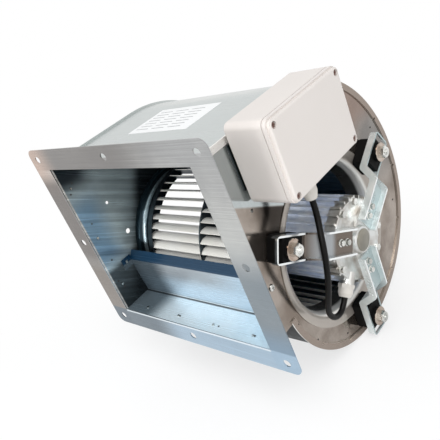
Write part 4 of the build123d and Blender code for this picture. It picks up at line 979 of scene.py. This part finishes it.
@dataclass
class Casing:
    """Scroll, side plates, inlet rings, cut-off plate and outlet flange."""

    finishes: Finishes
    copies: Copies
    half_width: float = 149.0
    half_height: float = 131.0
    sheet: float = 1.2
    collar: float = 1.5
    rivet_y: float = 15.0
    rivet_rows_x: tuple[float, ...] = (-109.5, -36.5, 36.5, 109.5)
    rivet_rows_z: tuple[float, ...] = (-90.0, 0.0, 90.0)
    screw_place: Pair = (40.0, -64.0)
    label_corner: Pair = (-73.0, 98.0)
    label_size: Pair = (124.0, 77.0)
    label_thick: float = 0.2
    ruling_size: Pair = (26.0, 1.3)
    ruling_thick: float = 0.05
    ruling_columns: tuple[float, ...] = (-41.0, -7.0, 27.0)
    ruling_rows: tuple[float, ...] = (-27.0, -18.0, -9.0, 0.0, 9.0, 18.0, 27.0)
    mark_radius: float = 1.6
    mark_stand: float = 0.12
    mark_sink: float = 0.4
    near_marks: tuple[Pair, ...] = (
        (57.0, -96.0), (352.9, -135.0), (347.3, -2.9), (60.1, -138.4), (82.8, -189.0), (144.3, -232.4),
    )
    far_marks: tuple[Pair, ...] = (
        (20.8, 95.7), (10.6, 82.1), (18.1, 24.6), (18.7, -45.0), (11.4, -81.6), (16.9, -96.3),
    )
    floor_marks: tuple[float, ...] = (-33.0, 47.0, 113.0)

    def build(self) -> None:
        """Dress the casing and add its small pieces."""
        finishes = self.finishes
        for finish, node in (
            (finishes.flange, "outlet_flange"), (finishes.wrapper, "scroll_wrapper"),
            (finishes.plate_motor, "side_plate_motor"), (finishes.plate_far, "side_plate_far"),
            (finishes.cutoff, "cutoff_plate"), (finishes.ring, "inlet_ring_motor"),
            (finishes.ring_far, "inlet_ring_far"),
        ):
            paint(finish, node)
        self.rivets()
        self.tab_screws()
        self.label()
        self.marks()

    def rivets(self) -> None:
        """Domed rivets round the flange's collar."""
        head = lathe([(0, -3.9), (1.9, -3.9), (1.9, 0), (3.8, 0), (3.7, 0.5), (3.0, 1.2), (1.8, 1.6),
                      (0, 1.7)], 20)
        reach_x = self.half_width + self.sheet + self.collar
        reach_z = self.half_height + self.sheet + self.collar
        places = []
        for side in (-1, 1):
            places += placed([(side * reach_x, self.rivet_y, z) for z in self.rivet_rows_z], (side, 0, 0))
            places += placed([(x, self.rivet_y, side * reach_z) for x in self.rivet_rows_x], (0, 0, side))
        mesh = self.copies.place(head, places, self.finishes.bright)
        show("flange_rivet_heads", mesh, "fastener_steel", "flange_rivets")

    def tab_screws(self) -> None:
        """Pan-head screws that hold the cut-off plate's tabs."""
        head = lathe([(0, -2.4), (2.4, -2.4), (2.4, 0), (4.8, 0), (4.8, 0.8), (4.2, 1.8), (2.6, 2.4),
                      (1.2, 2.4), (0.9, 1.0), (0, 0.9)], 24)
        outside = self.half_width + self.sheet
        places = [(Vector((side * outside, *self.screw_place)) * MM, (side, 0, 0)) for side in (-1, 1)]
        mesh = self.copies.place(head, places, self.finishes.bright)
        show("cutoff_screw_heads", mesh, "fastener_steel", "cutoff_screws")

    def label(self) -> None:
        """Bare vinyl label on the top plate, with plain ruled bars."""
        low = self.half_height + self.sheet
        top = low + self.label_thick
        (x, y), (wide, deep) = self.label_corner, self.label_size
        sheet = boxes([((x, y, low), (x + wide, y + deep, top))])
        show("top_label", sheet, "box_plastic", finish=self.finishes.label)
        half_x, half_y = self.ruling_size[0] / 2, self.ruling_size[1] / 2
        bar = boxes([((-half_x, -half_y, 0.0), (half_x, half_y, self.ruling_thick))])
        places = placed([(x + wide / 2 + column, y + deep / 2 + row, top)
                         for row in self.ruling_rows for column in self.ruling_columns], (0, 0, 1))
        show("top_label_ruling", self.copies.place(bar, places, self.finishes.ruling), "box_plastic")

    def marks(self) -> None:
        """Dark dots of painted shade for small punched holes in the side plates and the duct floor."""
        low, high = -self.mark_sink, self.mark_stand
        dot = lathe([(0, low), (self.mark_radius, low), (self.mark_radius, high), (0, high)], 16)
        outside = self.half_width + self.sheet
        places = placed([(outside, *mark) for mark in self.near_marks], (1, 0, 0))
        places += placed([(-self.half_width, *mark) for mark in self.far_marks], (1, 0, 0))
        places += placed([(x, self.rivet_y, -self.half_height) for x in self.floor_marks], (0, 0, 1))
        show("punch_marks", self.copies.place(dot, places, self.finishes.mark), "casing_steel")


@dataclass
class Wheel:
    """Forward-curved wheel: two halves of blades between a disc and two end rings."""

    finishes: Finishes
    ring: Ring
    count: int = 48
    root_radius: float = 105.0
    tip_radius: float = 119.0
    thick: float = 1.0
    root_angle: float = 10.0
    tip_angle: float = 65.0
    half_disc: float = 1.0
    ring_face: float = 115.5
    steps: int = 12

    def build(self) -> None:
        """Dress the wheel and make its blades."""
        finishes = self.finishes
        paint(finishes.wheel, "wheel_centre_disc", "wheel_ring_motor", "wheel_ring_far")
        paint(finishes.core, "wheel_hub")
        paint(finishes.bright, "hub_rivets", "hub_set_screw")
        for node, start in (("blades_motor_half", self.half_disc), ("blades_far_half", -self.ring_face)):
            mesh = self.ring.repeat(self.blade(), self.count, finishes.blade, rotor_matrix(start))
            smooth(mesh)
            show(node + "_sheet", mesh, "wheel_steel", node, body=ROTOR)

    def blade(self) -> Mesh:
        """Make one blade: an arc of thin sheet along local Z, as long as half the wheel.

        Returns:
            A closed mesh.
        """
        root, tip = math.radians(self.root_angle), math.radians(self.tip_angle)
        bend = (self.tip_radius - self.root_radius) / (math.sin(tip) - math.sin(root))
        centre_x, centre_y = self.root_radius - bend * math.sin(root), bend * math.cos(root)
        outline = []
        for side, order in ((1, range(self.steps + 1)), (-1, range(self.steps, -1, -1))):
            radius = bend + side * self.thick / 2
            for step in order:
                angle = root + (tip - root) * step / self.steps
                outline.append((centre_x + radius * math.sin(angle), centre_y - radius * math.cos(angle)))
        make = bmesh.new()
        low, high = [[make.verts.new((x * MM, y * MM, z * MM)) for x, y in outline]
                     for z in (0.0, self.ring_face - self.half_disc)]
        count = len(outline)
        for step in range(count):
            after = (step + 1) % count
            make.faces.new((low[step], low[after], high[after], high[step]))
        for step in range(self.steps):
            other = count - 1 - step
            for end in (low, high):
                make.faces.new((end[step], end[step + 1], end[other - 1], end[other]))
        return mesh_of(make, "blade")


@dataclass
class Motor:
    """Finned motor in the near inlet."""

    finishes: Finishes
    boss_face: float = 193.5
    cap_radius: float = 15.5
    cap_stand: float = 1.0

    def build(self) -> None:
        """Dress the motor and add its bearing cap."""
        finishes = self.finishes
        paint(finishes.housing, "motor_housing")
        paint(finishes.casting, "motor_end_shield", "motor_front_shield")
        paint(finishes.core, "motor_stator", "motor_rotor")
        paint(finishes.copper, "motor_windings")
        paint(finishes.shaft, "motor_shaft", "bearing_inner", "bearing_outer")
        paint(finishes.bright, "shield_screws")
        self.cap()

    def cap(self) -> None:
        """Pressed cap with a rounded edge over the bearing."""
        radius, top = self.cap_radius, self.cap_stand
        mesh = lathe([(0, 0), (radius, 0), (radius, top - 0.5), (radius - 0.7, top - 0.1), (0, top)], 48)
        mesh.transform(rotor_matrix(self.boss_face))
        show("bearing_cap", mesh, "motor_aluminium", finish=self.finishes.cap)


@dataclass
class Mounts:
    """Three pressed arms, their rubber blocks and their bolts."""

    finishes: Finishes
    copies: Copies
    arm_angles: tuple[float, ...] = (150.0, 30.0, -90.0)
    stud_circle: float = 137.0
    stud_start: float = 149.0
    stud_radius: float = 4.0
    stud_stand: float = 2.0
    bore_gap: float = 0.1
    washer_start: float = 180.3
    washer_radius: float = 13.8
    washer_thick: float = 2.0
    nut_height: float = 8.0
    nut_flats: float = 15.0
    head_height: float = 5.3
    thread_length: float = 12.0
    thread_pitch: float = 1.25
    thread_depth: float = 0.7
    screw_seat: float = 190.5
    screw_places: Pair = (36.0, 50.0)
    screw_flats: float = 7.6
    screw_height: float = 4.5

    def build(self) -> None:
        """Dress the arms and make their fasteners."""
        finishes = self.finishes
        paint(finishes.arm, "motor_arm_outlet")
        paint(finishes.side_arm, "motor_arm_upper", "motor_arm_lower")
        paint(finishes.rubber, "rubber_block_outlet", "rubber_block_upper", "rubber_block_lower")
        self.washers()
        self.nuts()
        self.studs()
        self.arm_screws()

    def along(self, x: float, distance: float, way: float = 1.0) -> list[tuple[Vector, Point]]:
        """Places on all arms at x and a distance from the rotor line, facing +X or, by a way of -1, -X."""
        return [(at_polar(x, distance, angle), (way, 0.0, 0.0)) for angle in self.arm_angles]

    def washers(self) -> None:
        """Large washers with rounded edges."""
        bore, rim, top = self.stud_radius + self.bore_gap, self.washer_radius, self.washer_thick
        profile = [(bore, 0), (rim - 0.3, 0), (rim, 0.4), (rim, top - 0.5), (rim - 0.5, top), (bore, top)]
        places = self.along(self.washer_start, self.stud_circle)
        mesh = self.copies.place(lathe(profile, 48, closed=True), places, self.finishes.washer)
        show("mount_washer_discs", mesh, "fastener_steel", "mount_washers")

    def nuts(self) -> None:
        """Hexagon nuts with chamfered corners."""
        item = hex_nut(self.nut_flats, self.nut_height, self.stud_radius + self.bore_gap)
        places = self.along(self.washer_start + self.washer_thick, self.stud_circle)
        mesh = self.copies.place(item, places, self.finishes.bright)
        show("mount_hex_nuts", mesh, "fastener_steel", "mount_nuts")

    def studs(self) -> None:
        """Studs with a rolled thread at the nut and a hexagon head inside the casing."""
        top = self.washer_start + self.washer_thick + self.nut_height + self.stud_stand
        length = top - self.stud_start
        radius, pitch = self.stud_radius, self.thread_pitch
        profile = [(0, 0), (radius, 0)]
        height = length - self.thread_length
        while height < length - pitch:
            profile += [(radius, height), (radius - self.thread_depth, height + pitch / 2)]
            height += pitch
        profile += [(radius - 0.8, length), (0, length)]
        bright, circle = self.finishes.bright, self.stud_circle
        shanks = self.copies.place(lathe(profile, 24), self.along(self.stud_start, circle), bright)
        head = hex_nut(self.nut_flats, self.head_height)
        heads = self.copies.place(head, self.along(self.stud_start, circle, -1.0), bright)
        show("mount_stud_threads", joined([shanks, heads]), "fastener_steel", "mount_studs")

    def arm_screws(self) -> None:
        """Flanged hexagon screws through each arm into the end shield."""
        shank = lathe([(0, -9.0), (2.5, -9.0), (2.5, 0), (5.4, 0), (5.2, 0.9), (4.0, 1.4), (0, 1.4)], 28)
        item = joined([shank, hex_nut(self.screw_flats, self.screw_height)])
        places = [place for distance in self.screw_places for place in self.along(self.screw_seat, distance)]
        mesh = self.copies.place(item, places, self.finishes.bright)
        show("arm_flange_screws", mesh, "fastener_steel", "arm_screws")


@dataclass
class TerminalBox:
    """Terminal box on its bracket, with what it holds."""

    finishes: Finishes
    copies: Copies
    centre: Pair = (132.0, 98.0)
    size: Pair = (148.0, 103.0)
    face: float = 219.5
    screw_depth: float = 4.0
    screw_inset: float = 8.5
    screw_radius: float = 3.2
    screw_height: float = 2.5

    def build(self) -> None:
        """Dress the box and make its screws."""
        finishes = self.finishes
        paint(finishes.box, "terminal_box_base", "terminal_box_cover")
        paint(finishes.bracket, "terminal_box_bracket")
        paint(finishes.gasket, "terminal_box_gasket")
        paint(finishes.gland, "terminal_strip", "start_capacitor", "box_gland", "motor_gland")
        self.cover_screws()

    def cover_screws(self) -> None:
        """Sunk cover screws with a cross recess."""
        half_y, half_z = [size / 2 - self.screw_inset for size in self.size]
        (y, z), x = self.centre, self.face - self.screw_depth
        places = placed([(x, y + side_y * half_y, z + side_z * half_z)
                         for side_y in (-1, 1) for side_z in (-1, 1)], (1, 0, 0))
        item = cross_screw(self.screw_radius, self.screw_height)
        mesh = self.copies.place(item, places, self.finishes.screw_well)
        show("box_cross_screws", mesh, "fastener_steel", "box_cover_screws")


@dataclass
class MotorCable:
    """Black cable from the box gland down to the motor gland."""

    finishes: Finishes
    diameter: float = 8.0
    length: float = 223.1
    gland_x: float = 178.0
    gland_angle: float = -135.0
    gland_end: float = 80.0
    lead: float = 14.0
    start: Point = (188.0, 122.0, 16.0)
    waypoints: tuple[Point, ...] = (
        (188.0, 122.0, -2.0), (194.0, 110.0, -22.0), (201.0, 96.0, -44.0), (199.0, 91.0, -72.0),
        (192.0, 89.5, -101.0), (183.5, 89.0, -126.0), (178.5, 90.0, -141.0), (178.0, 95.5, -154.2),
        (178.0, 107.3, -161.2),
    )

    def build(self) -> None:
        route = [Vector(point) * MM for point in (self.start, *self.waypoints)]
        route += [at_polar(self.gland_x, distance, self.gland_angle)
                  for distance in (self.gland_end + self.lead, self.gland_end)]
        data = bpy.data.curves.new("motor_lead", "CURVE")
        data.dimensions = "3D"
        spline = data.splines.new("NURBS")
        spline.points.add(len(route) - 1)
        for control, point in zip(spline.points, route):
            control.co = (*point, 1.0)
        spline.order_u = 3
        spline.use_endpoint_u = True
        spline.resolution_u = 16
        data.bevel_depth = self.diameter / 2 * MM
        data.bevel_resolution = 6
        data.use_fill_caps = True
        data.materials.append(self.finishes.sheath)
        cable = linked("motor_lead", data)
        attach(cable, CASING)
        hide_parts("motor_cable")
        LOG.info("motor_lead: %d points", len(route))


@dataclass
class Studio:
    """Floor, soft light and the camera at the photograph's angle."""

    floor_z: float = -262.5
    floor_half: float = 6000.0
    floor_near: float = 0.66
    floor_fade: Pair = (280.0, 700.0)
    camera_place: Point = (582.4, -349.4, 328.3)
    camera_right: Point = (0.68983, 0.62012, -0.37362)
    camera_up: Point = (-0.02995, 0.54007, 0.84109)
    camera_back: Point = (0.72336, -0.56901, 0.39113)
    lens: float = 45.74
    sensor: float = 36.0
    shift: Pair = (0.0493, -0.0431)
    aim: Point = (0.0, 150.0, -50.0)
    # Name, place, watts and width of each lamp.
    lights: tuple[tuple[str, Point, float, float], ...] = (
        ("key", (1050.0, -750.0, 1850.0), 30.0, 1400.0),
        ("side", (1350.0, -150.0, 50.0), 1.4, 800.0),
        ("fill", (-500.0, -1500.0, 550.0), 15.0, 1000.0),
    )

    def build(self) -> None:
        """Set the view, the light and the floor."""
        bpy.context.scene.view_settings.view_transform = "Standard"
        self.camera()
        self.world()
        self.lamps()
        self.floor()

    def camera(self) -> None:
        """Place the camera where the photograph was taken."""
        data = bpy.data.cameras.new("camera")
        data.lens = self.lens
        data.sensor_width = self.sensor
        data.shift_x, data.shift_y = self.shift
        data.clip_start = 0.01
        camera = linked("camera", data)
        columns = Matrix((self.camera_right, self.camera_up, self.camera_back)).transposed()
        camera.matrix_world = Matrix.Translation(Vector(self.camera_place) * MM) @ columns.to_4x4()
        bpy.context.scene.camera = camera

    def world(self) -> None:
        """White seen by the camera and in reflections, and a softer dome for the light."""
        world = bpy.data.worlds.new("studio")
        world.use_nodes = True
        tree = world.node_tree
        tree.nodes.clear()
        rays = add(tree, "LightPath").outputs
        seen = total(tree, [rays[ray] for ray in BACKGROUND_RAYS])
        dome = add(tree, "Background", values={"Color": linear("#f2f5f8"), "Strength": 0.55})
        white = add(tree, "Background", values={"Color": linear("#ffffff"), "Strength": 1.0})
        mix = add(tree, "MixShader", links={0: seen, 1: dome, 2: white})
        add(tree, "OutputWorld", links={0: mix})
        bpy.context.scene.world = world

    def lamps(self) -> None:
        """Three large soft lamps: one above, a weak one from the motor's side, one from the outlet's."""
        for name, place, watts, width in self.lights:
            data = bpy.data.lights.new(name, "AREA")
            data.energy = watts
            data.size = width * MM
            stand, aim = Vector(place) * MM, Vector(self.aim) * MM
            turn = (aim - stand).to_track_quat("-Z", "Y").to_matrix().to_4x4()
            linked(name, data).matrix_world = Matrix.Translation(stand) @ turn

    def floor(self) -> None:
        """Pale floor just under the fan, fading to plain white away from it.

        Near the fan the floor keeps its shadow, and mirrors of it stay dark.
        """
        half, z = self.floor_half * MM, self.floor_z * MM
        mesh = bpy.data.meshes.new("floor")
        mesh.from_pydata([(-half, -half, z), (half, -half, z), (half, half, z), (-half, half, z)], [],
                         [(0, 1, 2, 3)])
        coat = Coat("pale_floor")
        tree = coat.tree
        wire(coat.shader, {"Base Color": linear("#fbfbfb"), "Roughness": 0.9})
        away = add(tree, "VectorMath", "LENGTH", links={0: coat.spot}).outputs["Value"]
        rays = add(tree, "LightPath").outputs
        start, end = self.floor_fade
        shares = []
        for ray in BACKGROUND_RAYS:
            near = 0.0 if ray == "Is Glossy Ray" else self.floor_near
            fade = add(tree, "MapRange", {"interpolation_type": "SMOOTHSTEP"},
                       {FROM_LOW: start * MM, FROM_HIGH: end * MM, TO_LOW: near, TO_HIGH: 1.0}, {0: away})
            shares.append(add(tree, "Math", "MULTIPLY", links={0: fade, 1: rays[ray]}))
        glow = add(tree, "Emission", values={"Strength": 1.0})
        mix = add(tree, "MixShader", links={0: total(tree, shares), 1: coat.shader, 2: glow})
        wire(coat.output, links={0: mix})
        mesh.materials.append(coat.made)
        floor = linked("floor", mesh)


def main() -> None:
    """Build the fan's looks in order."""
    logging.basicConfig(level=logging.INFO, format="%(name)s: %(message)s")
    finishes = Finishes()
    copies = Copies()
    Studio().build()
    MotorCable(finishes).build()
    Casing(finishes, copies).build()
    Wheel(finishes, Ring()).build()
    Motor(finishes).build()
    Mounts(finishes, copies).build()
    TerminalBox(finishes, copies).build()


if __name__ == "__main__":
    main()
